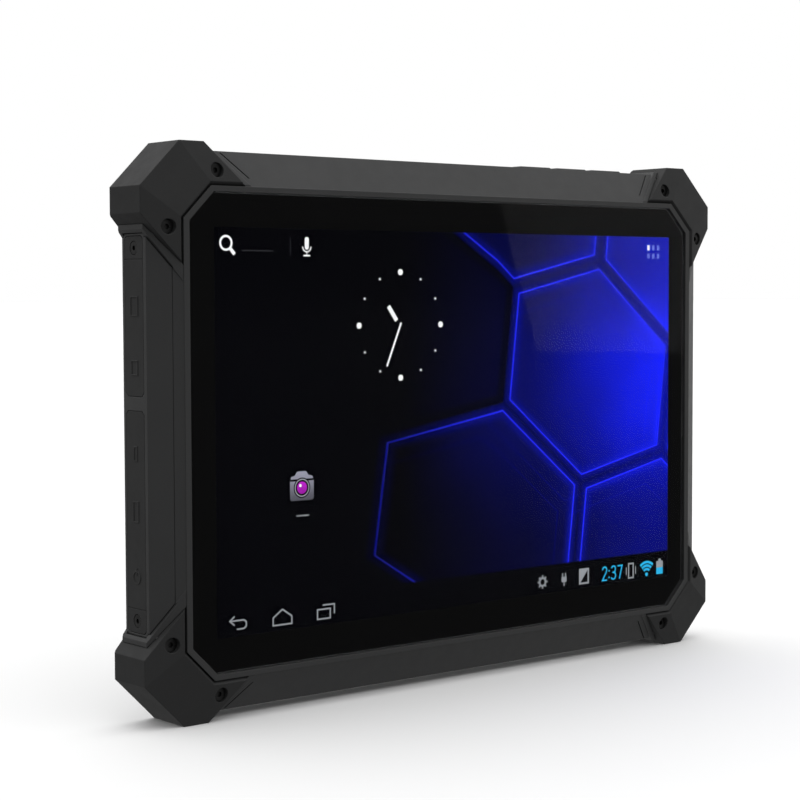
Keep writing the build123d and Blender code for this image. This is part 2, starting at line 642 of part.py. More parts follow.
# Screen stack
glass_blank = prism(GLASS, GLASS_Y, GLASS_BACK_Y)
PRINTED_AREA = octagon(GLASS_HALF_W - 0.3, GLASS_HALF_H - 0.3, GLASS_LEG)
TAPE_INNER = octagon(SCREEN_HALF_W + 0.8, SCREEN_HALF_H + 0.8, 1.0)
mask_blank = prism(PRINTED_AREA, GLASS_BACK_Y, GLASS_BACK_Y + MASK_T)
tape_blank = prism(PRINTED_AREA, GLASS_BACK_Y + MASK_T, SHELF_Y)
tape_hole = prism(TAPE_INNER, GLASS_BACK_Y, SHELF_Y + 1)

with BuildPart() as cover_glass:
    add(glass_blank)
cover_glass.part.label = "cover_glass"
export_step(cover_glass.part, "parts/cover_glass.step")

with BuildPart() as screen_mask:
    add(mask_blank)
    x0 = ACTIVE_SHIFT_X - ACTIVE_W / 2
    x1 = ACTIVE_SHIFT_X + ACTIVE_W / 2
    block(x0, x1, GLASS_BACK_Y - 1, SHELF_Y, -ACTIVE_H / 2, ACTIVE_H / 2, mode=Mode.SUBTRACT)
screen_mask.part.label = "screen_mask"
export_step(screen_mask.part, "parts/screen_mask.step")

with BuildPart() as glass_tape:
    add(tape_blank)
    add(tape_hole, mode=Mode.SUBTRACT)
glass_tape.part.label = "glass_tape"
export_step(glass_tape.part, "parts/glass_tape.step")

with BuildPart() as display_panel:
    block(-SCREEN_HALF_W, SCREEN_HALF_W, CELL_Y, BACKLIGHT_Y, -SCREEN_HALF_H, SCREEN_HALF_H)
display_panel.part.label = "display_panel"
export_step(display_panel.part, "parts/display_panel.step")

with BuildPart() as backlight_unit:
    block(-SCREEN_HALF_W, SCREEN_HALF_W, BACKLIGHT_Y, BACKLIGHT_BACK_Y, -SCREEN_HALF_H, SCREEN_HALF_H)
backlight_unit.part.label = "backlight_unit"
export_step(backlight_unit.part, "parts/backlight_unit.step")

# Chassis plate with board posts and a shelf for the key board
KEY_SHELF_X0 = KEY_X[0] - KEY_L / 2 - KEY_FLANGE
KEY_SHELF_X1 = KEY_X[2] + KEY_L / 2 + KEY_FLANGE
chassis_blank = prism(octagon(CHASSIS_W, CHASSIS_H, CAVITY_LEG), CHASSIS_Y0, CHASSIS_Y1)

with BuildPart() as chassis_plate:
    add(chassis_blank)
    block(KEY_SHELF_X0, KEY_SHELF_X1, CHASSIS_Y0, KEY_Y + 3.9, KEY_BOARD_Z - 1.0, KEY_BOARD_Z)
    for post_x, post_z in BOARD_SCREWS:
        rod_y(post_x, post_z, BOSS_R, CHASSIS_Y1, BOARD_Y0)
        rod_y(post_x, post_z, M2_HOLE_R, CHASSIS_Y0, BOARD_Y0, mode=Mode.SUBTRACT)
    for pillar_x, pillar_z in PILLARS:
        rod_y(pillar_x, pillar_z, PILLAR_R + 0.3, CHASSIS_Y0, CHASSIS_Y1, mode=Mode.SUBTRACT)
    for boss_x, boss_z in CHASSIS_SCREWS:
        rod_y(boss_x, boss_z, M2_HOLE_R, CHASSIS_Y0, CHASSIS_Y1, mode=Mode.SUBTRACT)
chassis_plate.part.label = "chassis_plate"
export_step(chassis_plate.part, "parts/chassis_plate.step")

with BuildPart() as chassis_screws:
    for boss_x, boss_z in CHASSIS_SCREWS:
        rod_y(boss_x, boss_z, 1.9, CHASSIS_Y1, CHASSIS_Y1 + 0.8)
        rod_y(boss_x, boss_z, M2_R, CAVITY_Y + 0.7, CHASSIS_Y1)
chassis_screws.part.label = "chassis_screws"
export_step(chassis_screws.part, "parts/chassis_screws.step")

with BuildPart() as main_board:
    block(BOARD_X0, BOARD_X1, BOARD_Y0, BOARD_Y1, -BOARD_HALF_H, BOARD_HALF_H)
    for post_x, post_z in BOARD_SCREWS:
        rod_y(post_x, post_z, M2_HOLE_R, BOARD_Y0, BOARD_Y1, mode=Mode.SUBTRACT)
main_board.part.label = "main_board"
export_step(main_board.part, "parts/main_board.step")

with BuildPart() as board_screws:
    for post_x, post_z in BOARD_SCREWS:
        rod_y(post_x, post_z, 1.9, BOARD_Y1, BOARD_Y1 + 0.8)
        rod_y(post_x, post_z, M2_R, CHASSIS_Y1, BOARD_Y1)
board_screws.part.label = "board_screws"
export_step(board_screws.part, "parts/board_screws.step")

with BuildPart() as shield_cans:
    for z0, z1 in ((10, 48), (-52, -8)):
        block(-98, -76, BOARD_Y1, BOARD_Y1 + 2.2, z0, z1)
        block(-97.7, -76.3, BOARD_Y1, BOARD_Y1 + 1.9, z0 + 0.3, z1 - 0.3, mode=Mode.SUBTRACT)
shield_cans.part.label = "shield_cans"
export_step(shield_cans.part, "parts/shield_cans.step")

# Port connectors on the main board
CONNECTOR_L = 14.0


def connector(port, wall, slot_depth):
    """Shell of one port with a pocket open to the left."""
    height, width, depth = port
    x1 = PORT_MOUTH_X + CONNECTOR_L
    port_block(port, PORT_MOUTH_X, x1, 0)
    z0 = height - width / 2 + wall
    z1 = height + width / 2 - wall
    y0 = BOARD_Y1 + (depth - slot_depth) / 2
    block(PORT_MOUTH_X, x1 - 2, y0, y0 + slot_depth, z0, z1, mode=Mode.SUBTRACT)


def tongue(port, half_width, y_low, thickness):
    """Contact tongue inside a plug socket."""
    x1 = PORT_MOUTH_X + CONNECTOR_L - 2
    y0 = BOARD_Y1 + y_low
    block(PORT_MOUTH_X + 1, x1, y0, y0 + thickness, port[0] - half_width, port[0] + half_width)


with BuildPart() as sim_socket:
    connector(SIM_PORT, 1.6, 1.0)
sim_socket.part.label = "sim_socket"
export_step(sim_socket.part, "parts/sim_socket.step")

with BuildPart() as card_socket:
    connector(CARD_PORT, 1.3, 0.9)
card_socket.part.label = "card_socket"
export_step(card_socket.part, "parts/card_socket.step")

with BuildPart() as usb_c_socket:
    connector(USB_C_PORT, 0.3, 2.6)
    tongue(USB_C_PORT, 3.35, 1.25, 0.7)
usb_c_socket.part.label = "usb_c_socket"
export_step(usb_c_socket.part, "parts/usb_c_socket.step")

with BuildPart() as usb_a_socket:
    connector(USB_A_PORT, 0.3, 5.0)
    tongue(USB_A_PORT, 5.6, 3.0, 1.8)
usb_a_socket.part.label = "usb_a_socket"
export_step(usb_a_socket.part, "parts/usb_a_socket.step")

with BuildPart() as power_socket:
    port_block(POWER_PORT, PORT_MOUTH_X, PORT_MOUTH_X + CONNECTOR_L, 0)
    mid_y = BOARD_Y1 + POWER_PORT[2] / 2
    x1 = PORT_MOUTH_X + CONNECTOR_L - 2
    rod_x(mid_y, POWER_PORT[0], 2.75, PORT_MOUTH_X, x1, mode=Mode.SUBTRACT)
    rod_x(mid_y, POWER_PORT[0], 0.8, PORT_MOUTH_X + 1, x1)
power_socket.part.label = "power_socket"
export_step(power_socket.part, "parts/power_socket.step")

with BuildPart() as gnss_antenna:
    block(-69, -51, BOARD_Y1, BOARD_Y1 + 4, 52, 70)
gnss_antenna.part.label = "gnss_antenna"
export_step(gnss_antenna.part, "parts/gnss_antenna.step")

with BuildPart() as vibration_motor:
    rod_y(-45, 30, 5, BOARD_Y1, BOARD_Y1 + 3)
vibration_motor.part.label = "vibration_motor"
export_step(vibration_motor.part, "parts/vibration_motor.step")

with BuildPart() as wireless_antenna:
    block(-80, -22, BAY_FRONT_Y + 4, LEDGE_Y - 1.5, TOP_BAY_H - 2.2, TOP_BAY_H)
wireless_antenna.part.label = "wireless_antenna"
export_step(wireless_antenna.part, "parts/wireless_antenna.step")

with BuildPart() as cellular_antenna:
    block(SIDE_BAY_W - 2.2, SIDE_BAY_W, BAY_FRONT_Y + 1, LEDGE_Y - 1.5, -40, 40)
cellular_antenna.part.label = "cellular_antenna"
export_step(cellular_antenna.part, "parts/cellular_antenna.step")

# Keys on the top edge
SWITCH_TOP_Z = KEY_BASE_Z - KEY_TRAVEL - 0.05


def side_key(x):
    """Key cap that slides in the top wall, with a flange that holds it in."""
    half = KEY_L / 2
    y0 = KEY_Y - KEY_D / 2
    y1 = KEY_Y + KEY_D / 2
    block(x - half, x + half, y0, y1, KEY_BASE_Z, BODY_H + KEY_PROUD)
    block(x - half - KEY_FLANGE, x + half + KEY_FLANGE, y0 - 0.6, y1 + 0.6, KEY_BASE_Z, TOP_BAY_H - 0.1)


def bevel_top(builder):
    """Bevels the top rim of a key."""
    top = builder.faces().sort_by(Axis.Z)[-1]
    chamfer(top.edges(), length=KEY_BEVEL)


with BuildPart() as power_key:
    side_key(KEY_X[0])
    bevel_top(power_key)
power_key.part.label = "power_key"
export_step(power_key.part, "parts/power_key.step")

with BuildPart() as volume_up_key:
    side_key(KEY_X[1])
    bevel_top(volume_up_key)
volume_up_key.part.label = "volume_up_key"
export_step(volume_up_key.part, "parts/volume_up_key.step")

with BuildPart() as volume_down_key:
    side_key(KEY_X[2])
    bevel_top(volume_down_key)
volume_down_key.part.label = "volume_down_key"
export_step(volume_down_key.part, "parts/volume_down_key.step")

with BuildPart() as key_board:
    block(KEY_SHELF_X0, KEY_SHELF_X1, KEY_Y - 3.4, KEY_Y + 3.9, KEY_BOARD_Z, KEY_BOARD_Z + KEY_BOARD_T)
key_board.part.label = "key_board"
export_step(key_board.part, "parts/key_board.step")

with BuildPart() as key_switches:
    for key_x in KEY_X:
        base_z = KEY_BOARD_Z + KEY_BOARD_T
        block(key_x - 3, key_x + 3, KEY_Y - 1.75, KEY_Y + 1.75, base_z, SWITCH_TOP_Z - 1.2)
        with Locations((key_x, KEY_Y, MID_Z + SWITCH_TOP_Z - 0.6)):
            Cylinder(1.3, 1.2)
key_switches.part.label = "key_switches"
export_step(key_switches.part, "parts/key_switches.step")

# Rear cover with the battery tray
TRAY_X0 = BATTERY_X0 - BATTERY_GAP
TRAY_X1 = BATTERY_X1 + BATTERY_GAP
TRAY_Z = BATTERY_HALF_H + BATTERY_GAP
RECESS_X0 = TRAY_X0 - DOOR_FLANGE
RECESS_X1 = TRAY_X1 + DOOR_FLANGE
RECESS_Z = TRAY_Z + DOOR_FLANGE
DOOR_FIT = 0.2
rear_plate = prism(
    octagon(REAR_RECESS_W - COVER_GAP, REAR_RECESS_H - COVER_GAP, REAR_RECESS_LEG), COVER_INNER_Y, BACK_Y
)
SEAL_OUT = octagon(REAR_RECESS_W - 0.4, REAR_RECESS_H - 0.4, REAR_RECESS_LEG)
SEAL_IN = octagon(REAR_RECESS_W - 1.4, REAR_RECESS_H - 1.4, REAR_RECESS_LEG - 0.6)
rear_seal_ring = prism(SEAL_OUT, LEDGE_Y, COVER_INNER_Y) - prism(SEAL_IN, LEDGE_Y - 1, COVER_INNER_Y + 1)

with BuildPart() as rear_cover:
    add(rear_plate)
    tray_z = TRAY_Z + TRAY_WALL
    block(TRAY_X0 - TRAY_WALL, TRAY_X1 + TRAY_WALL, TRAY_Y0, COVER_INNER_Y, -tray_z, tray_z)
    for screw_x in DOOR_SCREW_X:
        for screw_z in (-DOOR_SCREW_Z, DOOR_SCREW_Z):
            rod_y(screw_x, screw_z, BOSS_R, COVER_INNER_Y - 3, COVER_INNER_Y)
    for sx, sz in CORNERS:
        rod_y(sx * STRAP_X, sz * STRAP_Z, INSERT_R + 1.4, BACK_Y - INSERT_L, COVER_INNER_Y)
    for pillar_x, pillar_z in PILLARS:
        rod_y(pillar_x, pillar_z, PILLAR_R - 0.6, LEDGE_Y, COVER_INNER_Y)
    block(RECESS_X0, RECESS_X1, DOOR_LEDGE_Y, REAR_Y, -RECESS_Z, RECESS_Z, mode=Mode.SUBTRACT)
    block(TRAY_X0, TRAY_X1, TRAY_Y0 + TRAY_WALL, REAR_Y, -TRAY_Z, TRAY_Z, mode=Mode.SUBTRACT)
    block(TRAY_X0 - TRAY_WALL - 1, TRAY_X0, BOARD_Y1 + 1, BOARD_Y1 + 5, -9, 9, mode=Mode.SUBTRACT)
    for screw_x in DOOR_SCREW_X:
        for screw_z in (-DOOR_SCREW_Z, DOOR_SCREW_Z):
            rod_y(screw_x, screw_z, M2_HOLE_R, COVER_INNER_Y - 2.5, REAR_Y, mode=Mode.SUBTRACT)
    for sx, sz in CORNERS:
        rod_y(sx * STRAP_X, sz * STRAP_Z, INSERT_R, BACK_Y - INSERT_L, BACK_Y, mode=Mode.SUBTRACT)
    for pillar_x, pillar_z in PILLARS:
        rod_y(pillar_x, pillar_z, M25_HOLE_R, LEDGE_Y, REAR_Y, mode=Mode.SUBTRACT)
        rod_y(pillar_x, pillar_z, 2.5, BACK_Y - 1.3, REAR_Y, mode=Mode.SUBTRACT)
    rod_y(CAMERA_X, CAMERA_Z, 7.7, BACK_Y - 0.9, REAR_Y, mode=Mode.SUBTRACT)
    rod_y(CAMERA_X, CAMERA_Z, 4.2, COVER_INNER_Y, REAR_Y, mode=Mode.SUBTRACT)
    rod_y(FLASH_X, FLASH_Z, 3.0, COVER_INNER_Y, REAR_Y, mode=Mode.SUBTRACT)
    for side in (-1, 1):
        for step in range(-3, 4):
            x0 = SPEAKER_X0 + 4
            x1 = SPEAKER_X1 - 4
            z = side * SPEAKER_Z + step * 3.6
            block(x0, x1, COVER_INNER_Y, REAR_Y, z - 0.7, z + 0.7, mode=Mode.SUBTRACT)
rear_cover.part.label = "rear_cover"
export_step(rear_cover.part, "parts/rear_cover.step")

with BuildPart() as rear_seal:
    add(rear_seal_ring)
    for pillar_x, pillar_z in PILLARS:
        rod_y(pillar_x, pillar_z, PILLAR_R, LEDGE_Y, COVER_INNER_Y, mode=Mode.SUBTRACT)
rear_seal.part.label = "rear_seal"
export_step(rear_seal.part, "parts/rear_seal.step")

with BuildPart() as rear_screws:
    for pillar_x, pillar_z in PILLARS:
        rod_y(pillar_x, pillar_z, 2.3, BACK_Y - 1.3, BACK_Y - 0.2)
        rod_y(pillar_x, pillar_z, M25_R, 1.0, BACK_Y - 1.3)
        rod_y(pillar_x, pillar_z, 0.9, BACK_Y - 0.8, BACK_Y - 0.2, mode=Mode.SUBTRACT)
rear_screws.part.label = "rear_screws"
export_step(rear_screws.part, "parts/rear_screws.step")

with BuildPart() as battery_pack:
    block(BATTERY_X0, BATTERY_X1, TRAY_Y0 + TRAY_WALL, DOOR_LEDGE_Y - 0.1, -BATTERY_HALF_H, BATTERY_HALF_H)
battery_pack.part.label = "battery_pack"
export_step(battery_pack.part, "parts/battery_pack.step")

with BuildPart() as battery_contacts:
    block(BOARD_X1 + 0.1, TRAY_X0 + 0.2, BOARD_Y1 + 1.2, BOARD_Y1 + 4.8, -8.8, 8.8)
    block(BOARD_X1 - 6, BOARD_X1 + 0.1, BOARD_Y1, BOARD_Y1 + 4.8, -8.8, 8.8)
battery_contacts.part.label = "battery_contacts"
export_step(battery_contacts.part, "parts/battery_contacts.step")

with BuildPart() as battery_door:
    y0 = DOOR_LEDGE_Y + DOOR_SEAL_T
    block(RECESS_X0 + DOOR_FIT, RECESS_X1 - DOOR_FIT, y0, BACK_Y, -RECESS_Z + DOOR_FIT, RECESS_Z - DOOR_FIT)
    for screw_x in DOOR_SCREW_X:
        for screw_z in (-DOOR_SCREW_Z, DOOR_SCREW_Z):
            rod_y(screw_x, screw_z, 1.2, y0, BACK_Y, mode=Mode.SUBTRACT)
            rod_y(screw_x, screw_z, 2.1, BACK_Y - 0.9, BACK_Y, mode=Mode.SUBTRACT)
battery_door.part.label = "battery_door"
export_step(battery_door.part, "parts/battery_door.step")

with BuildPart() as door_seal:
    y0 = DOOR_LEDGE_Y
    y1 = DOOR_LEDGE_Y + DOOR_SEAL_T
    block(TRAY_X0 - 2.6, TRAY_X1 + 2.6, y0, y1, -TRAY_Z - 2.6, TRAY_Z + 2.6)
    block(TRAY_X0 - 0.8, TRAY_X1 + 0.8, y0, y1, -TRAY_Z - 0.8, TRAY_Z + 0.8, mode=Mode.SUBTRACT)
door_seal.part.label = "door_seal"
export_step(door_seal.part, "parts/door_seal.step")

with BuildPart() as door_screws:
    for screw_x in DOOR_SCREW_X:
        for screw_z in (-DOOR_SCREW_Z, DOOR_SCREW_Z):
            rod_y(screw_x, screw_z, 1.9, BACK_Y - 0.9, BACK_Y - 0.1)
            rod_y(screw_x, screw_z, M2_R, COVER_INNER_Y - 2.2, BACK_Y - 0.9)
door_screws.part.label = "door_screws"
export_step(door_screws.part, "parts/door_screws.step")

with BuildPart() as strap_inserts:
    for sx, sz in CORNERS:
        rod_y(sx * STRAP_X, sz * STRAP_Z, INSERT_R, BACK_Y - INSERT_L, BACK_Y)
        rod_y(sx * STRAP_X, sz * STRAP_Z, INSERT_BORE_R, BACK_Y - INSERT_L, BACK_Y, mode=Mode.SUBTRACT)
strap_inserts.part.label = "strap_inserts"
export_step(strap_inserts.part, "parts/strap_inserts.step")

with BuildPart() as camera_module:
    block(CAMERA_X - 5, CAMERA_X + 5, BOARD_Y1, COVER_INNER_Y - 0.1, CAMERA_Z - 5, CAMERA_Z + 5)
    rod_y(CAMERA_X, CAMERA_Z, 3.8, COVER_INNER_Y - 0.1, BACK_Y - 1.1)
camera_module.part.label = "camera_module"
export_step(camera_module.part, "parts/camera_module.step")

with BuildPart() as camera_ring:
    rod_y(CAMERA_X, CAMERA_Z, 7.5, BACK_Y - 0.9, REAR_Y - 0.1)
    rod_y(CAMERA_X, CAMERA_Z, 5.0, BACK_Y - 0.9, REAR_Y - 0.1, mode=Mode.SUBTRACT)
camera_ring.part.label = "camera_ring"
export_step(camera_ring.part, "parts/camera_ring.step")

with BuildPart() as camera_window:
    rod_y(CAMERA_X, CAMERA_Z, 4.9, BACK_Y - 0.9, BACK_Y - 0.1)
camera_window.part.label = "camera_window"
export_step(camera_window.part, "parts/camera_window.step")

with BuildPart() as flash_lens:
    rod_y(FLASH_X, FLASH_Z, 2.9, BACK_Y - 1.0, BACK_Y)
flash_lens.part.label = "flash_lens"
export_step(flash_lens.part, "parts/flash_lens.step")

with BuildPart() as flash_lamp:
    block(FLASH_X - 4, FLASH_X + 4, COVER_INNER_Y - 1, COVER_INNER_Y, FLASH_Z - 4, FLASH_Z + 4)
    rod_y(FLASH_X, FLASH_Z, 1.5, COVER_INNER_Y, COVER_INNER_Y + 0.9)
flash_lamp.part.label = "flash_lamp"
export_step(flash_lamp.part, "parts/flash_lamp.step")

with BuildPart() as speakers:
    for side in (-1, 1):
        z0 = side * SPEAKER_Z - 17
        block(SPEAKER_X0, SPEAKER_X1, COVER_INNER_Y - 6, COVER_INNER_Y, z0, z0 + 34)
speakers.part.label = "speakers"
export_step(speakers.part, "parts/speakers.step")
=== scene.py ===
"""Rugged 10.1 inch data collector tablet, standing on its corner bumpers on a pale floor."""
import json
import math

import bmesh
import bpy
from mathutils import Matrix, Vector


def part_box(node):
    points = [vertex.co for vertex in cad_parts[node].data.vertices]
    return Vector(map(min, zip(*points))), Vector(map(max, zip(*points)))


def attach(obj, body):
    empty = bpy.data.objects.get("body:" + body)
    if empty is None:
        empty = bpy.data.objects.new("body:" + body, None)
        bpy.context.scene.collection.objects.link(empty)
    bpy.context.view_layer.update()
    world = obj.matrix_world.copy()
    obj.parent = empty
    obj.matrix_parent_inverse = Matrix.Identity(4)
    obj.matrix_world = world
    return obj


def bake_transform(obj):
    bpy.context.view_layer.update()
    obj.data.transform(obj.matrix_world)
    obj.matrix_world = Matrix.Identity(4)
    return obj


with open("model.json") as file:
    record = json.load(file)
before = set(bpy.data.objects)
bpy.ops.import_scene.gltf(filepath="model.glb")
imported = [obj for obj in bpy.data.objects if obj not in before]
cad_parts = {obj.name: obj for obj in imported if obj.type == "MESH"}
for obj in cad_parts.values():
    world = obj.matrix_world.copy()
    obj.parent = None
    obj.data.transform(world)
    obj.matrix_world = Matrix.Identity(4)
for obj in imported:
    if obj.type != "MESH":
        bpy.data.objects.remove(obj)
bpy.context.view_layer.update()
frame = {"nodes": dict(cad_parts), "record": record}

MM = 0.001
MID_Z = sum(corner[2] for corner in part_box("display_panel")) / 2
MASK_FRONT_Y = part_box("screen_mask")[0].y
ICON_FRONT_Y = MASK_FRONT_Y + 0.03 * MM
ICON_BACK_Y = MASK_FRONT_Y + 0.07 * MM
HALO_FRONT_Y = MASK_FRONT_Y + 0.08 * MM
HALO_BACK_Y = MASK_FRONT_Y + 0.09 * MM


# ---------------------------------------------------------------- shader helpers
class Graph:
    """Small helper round one node tree."""

    def __init__(self, tree):
        self.tree = tree

    def node(self, kind, **settings):
        made = self.tree.nodes.new(kind)
        for key, value in settings.items():
            setattr(made, key, value)
        return made

    def plug(self, socket, value):
        if isinstance(value, bpy.types.NodeSocket):
            self.tree.links.new(value, socket)
        else:
            socket.default_value = value

    def math(self, operation, *values):
        made = self.node("ShaderNodeMath", operation=operation)
        for socket, value in zip(made.inputs, values):
            self.plug(socket, value)
        return made.outputs[0]

    def chain(self, operation, first, *others):
        """One operation over all the values, from left to right."""
        for other in others:
            first = self.math(operation, first, other)
        return first

    def vector(self, operation, *values):
        made = self.node("ShaderNodeVectorMath", operation=operation)
        for socket, value in zip(made.inputs, values):
            self.plug(socket, value)
        return made.outputs["Value" if operation == "DOT_PRODUCT" else "Vector"]

    def ramp(self, value, low, high, out_low=0.0, out_high=1.0):
        made = self.node("ShaderNodeMapRange", interpolation_type="SMOOTHSTEP")
        limits = {"From Min": low, "From Max": high, "To Min": out_low, "To Max": out_high}
        for name, number in limits.items():
            made.inputs[name].default_value = number
        self.plug(made.inputs["Value"], value)
        return made.outputs["Result"]

    def split(self, vector):
        made = self.node("ShaderNodeSeparateXYZ")
        self.plug(made.inputs[0], vector)
        return made.outputs

    def mix(self, share, first, second):
        made = self.node("ShaderNodeMix", data_type="RGBA")
        self.plug(made.inputs[0], share)
        self.plug(made.inputs[6], first)
        self.plug(made.inputs[7], second)
        return made.outputs[2]

    def noise(self, coords, scale, detail=3.0, rough=0.5):
        made = self.node("ShaderNodeTexNoise")
        made.inputs["Scale"].default_value = scale
        made.inputs["Detail"].default_value = detail
        made.inputs["Roughness"].default_value = rough
        self.plug(made.inputs["Vector"], coords)
        return made.outputs["Fac"]

    def bump(self, height, distance, strength, normal=None):
        made = self.node("ShaderNodeBump")
        made.inputs["Distance"].default_value = distance
        made.inputs["Strength"].default_value = strength
        self.plug(made.inputs["Height"], height)
        if normal is not None:
            self.plug(made.inputs["Normal"], normal)
        return made.outputs["Normal"]


def grey(value, tint=0.0):
    """Neutral colour, a little bluer with tint."""
    return (value, value * (1 + tint / 2), value * (1 + tint), 1.0)


def new_material(name):
    """Material with one Principled shader; returns it, its graph and the shader."""
    made = bpy.data.materials.new(name)
    made.use_nodes = True
    tree = made.node_tree
    tree.nodes.clear()
    graph = Graph(tree)
    shader = graph.node("ShaderNodeBsdfPrincipled")
    out = graph.node("ShaderNodeOutputMaterial")
    tree.links.new(shader.outputs[0], out.inputs["Surface"])
    return made, graph, shader


def object_coords(graph):
    return graph.node("ShaderNodeTexCoord").outputs["Object"]


# Moulded surfaces: noise scales, spread of the shade, and how handling changes the edges
DRIFT_SCALE = 28.0
RUBBED_SCALE = 210.0
SHADE_SPREAD = 0.06
GRAIN_SHADE = 0.12
EDGE_WEAR = (0.25, 0.5)
EDGE_SMOOTHING = 0.08


def moulded(name, base, worn, rough, specular, grain=0.35 * MM, depth=0.02 * MM, edge=0.35 * MM):
    """Moulded plastic or rubber: fine grain, slow drift of shade, edges polished by handling."""
    made, graph, shader = new_material(name)
    coords = object_coords(graph)
    geometry = graph.node("ShaderNodeNewGeometry")
    bevel = graph.node("ShaderNodeBevel", samples=4)
    bevel.inputs["Radius"].default_value = edge
    rounded = bevel.outputs["Normal"]
    sharp = graph.vector("DOT_PRODUCT", rounded, geometry.outputs["True Normal"])
    edges = graph.ramp(sharp, 0.999, 0.90)
    drift = graph.noise(coords, DRIFT_SCALE, 4.0)
    rubbed = graph.noise(coords, RUBBED_SCALE, 5.0, 0.65)
    grains = graph.noise(coords, 1.0 / grain, 2.0)
    polished = graph.math("MULTIPLY", edges, graph.ramp(rubbed, 0.35, 0.7, *EDGE_WEAR))
    darker = [channel * (1 - SHADE_SPREAD) for channel in base[:3]] + [1]
    lighter = [channel * (1 + SHADE_SPREAD) for channel in base[:3]] + [1]
    shade = graph.mix(graph.ramp(drift, 0.3, 0.7), darker, lighter)
    shade = graph.mix(graph.ramp(grains, 0.35, 0.65, 0.0, GRAIN_SHADE), shade, worn)
    graph.plug(shader.inputs["Base Color"], graph.mix(polished, shade, worn))
    roughness = graph.ramp(rubbed, 0.3, 0.7, rough - 0.03, rough + 0.04)
    smoothing = graph.math("MULTIPLY", edges, EDGE_SMOOTHING)
    graph.plug(shader.inputs["Roughness"], graph.math("SUBTRACT", roughness, smoothing))
    shader.inputs["Specular IOR Level"].default_value = specular
    graph.plug(shader.inputs["Normal"], graph.bump(grains, depth, 0.5, rounded))
    return made


def metal(name, colour, dark, rough, brushed=(900.0, 900.0, 60.0), metallic=1.0):
    """Metal with drawn or tumbled marks."""
    made, graph, shader = new_material(name)
    coords = object_coords(graph)
    stretched = graph.vector("MULTIPLY", coords, brushed)
    marks = graph.noise(stretched, 1.0, 3.0)
    blotch = graph.ramp(graph.noise(coords, 160.0, 3.0), 0.3, 0.75)
    graph.plug(shader.inputs["Base Color"], graph.mix(blotch, dark, colour))
    graph.plug(shader.inputs["Roughness"], graph.ramp(marks, 0.25, 0.75, rough * 0.8, rough * 1.25))
    shader.inputs["Metallic"].default_value = metallic
    graph.plug(shader.inputs["Normal"], graph.bump(marks, 0.01 * MM, 0.4))
    return made


def board_material(name):
    """Green solder resist with faint copper runs under it."""
    made, graph, shader = new_material(name)
    coords = object_coords(graph)
    runs = graph.node("ShaderNodeTexBrick")
    runs.inputs["Scale"].default_value = 170.0
    runs.inputs["Mortar Size"].default_value = 0.05
    runs.inputs["Color1"].default_value = (0.006, 0.070, 0.035, 1)
    runs.inputs["Color2"].default_value = (0.010, 0.095, 0.048, 1)
    runs.inputs["Mortar"].default_value = (0.020, 0.150, 0.075, 1)
    upright = graph.node("ShaderNodeMapping")
    upright.inputs["Rotation"].default_value = (math.radians(90), 0, 0)
    graph.plug(upright.inputs["Vector"], coords)
    graph.plug(runs.inputs["Vector"], upright.outputs["Vector"])
    graph.plug(shader.inputs["Base Color"], runs.outputs["Color"])
    resist = graph.noise(coords, 500.0)
    graph.plug(shader.inputs["Roughness"], graph.ramp(resist, 0.3, 0.7, 0.3, 0.45))
    graph.plug(shader.inputs["Normal"], graph.bump(runs.outputs["Fac"], 0.02 * MM, 0.4))
    return made


# Painted glow on the ink, standing in for room light that reaches the ink through the glass and
# comes back
INK_PAINTED_GLOW = 0.0030


def printed_black(name):
    """Black ink printed on the back of the glass, with a faint painted glow in place of the room
    light it sends back.
    """
    made, graph, shader = new_material(name)
    speck = graph.noise(object_coords(graph), 900.0, 2.0)
    graph.plug(shader.inputs["Base Color"], graph.mix(speck, grey(0.0018), grey(0.0030)))
    # painted glow: the ink emits a faint speckled grey in place of the room light it would send
    # back
    graph.plug(shader.inputs["Emission Color"], graph.mix(speck, grey(0.9), grey(1.0)))
    shader.inputs["Emission Strength"].default_value = INK_PAINTED_GLOW
    shader.inputs["Roughness"].default_value = 0.45
    shader.inputs["Specular IOR Level"].default_value = 0.1
    return made


def clear_glass(name, ior, tint, smudge):
    """Clear glass with a trace of handling haze in its gloss."""
    made, graph, shader = new_material(name)
    haze = graph.noise(object_coords(graph), 30.0, 4.0)
    graph.plug(shader.inputs["Base Color"], graph.mix(haze, tint, (1, 1, 1, 1)))
    graph.plug(shader.inputs["Roughness"], graph.ramp(haze, 0.3, 0.8, 0.0, smudge))
    shader.inputs["Transmission Weight"].default_value = 1.0
    shader.inputs["IOR"].default_value = ior
    return made


def lit(name, colour, strength, fade, low, high):
    """Light that is dimmer by fade at the height low than at the height high, in metres."""
    made, graph, shader = new_material(name)
    height = graph.split(object_coords(graph))["Z"]
    fall = graph.ramp(height, low, high, 1.0 - fade, 1.0)
    shader.inputs["Base Color"].default_value = (0, 0, 0, 1)
    shader.inputs["Specular IOR Level"].default_value = 0.0
    shader.inputs["Emission Strength"].default_value = strength
    graph.plug(shader.inputs["Emission Color"], graph.mix(fall, (0, 0, 0, 1), colour))
    return made


# ---------------------------------------------------------------- wallpaper
# A plain honeycomb seen askew: the middle of one cell, and two of its corners from there, in mm
CELL_MIDDLE = Vector((65.9, 15.7))
CELL_LEFT = Vector((-37.4, 30.1))
CELL_RIGHT = Vector((42.0, 9.2))
# Where the outline runs, if 0.5 is halfway to the next cell
OUTLINE_AT = 0.463
# Left of STRETCH_FROM mm the cells are wider, as one distance across counts as STRETCH of it
STRETCH_FROM = 17.9
STRETCH = 0.757
CORNER_UP = OUTLINE_AT / math.sqrt(3)
cell = Matrix(((CELL_LEFT.x, CELL_RIGHT.x), (CELL_LEFT.y, CELL_RIGHT.y)))
regular = Matrix(((-OUTLINE_AT, OUTLINE_AT), (CORNER_UP, CORNER_UP)))
skew = regular @ cell.inverted()


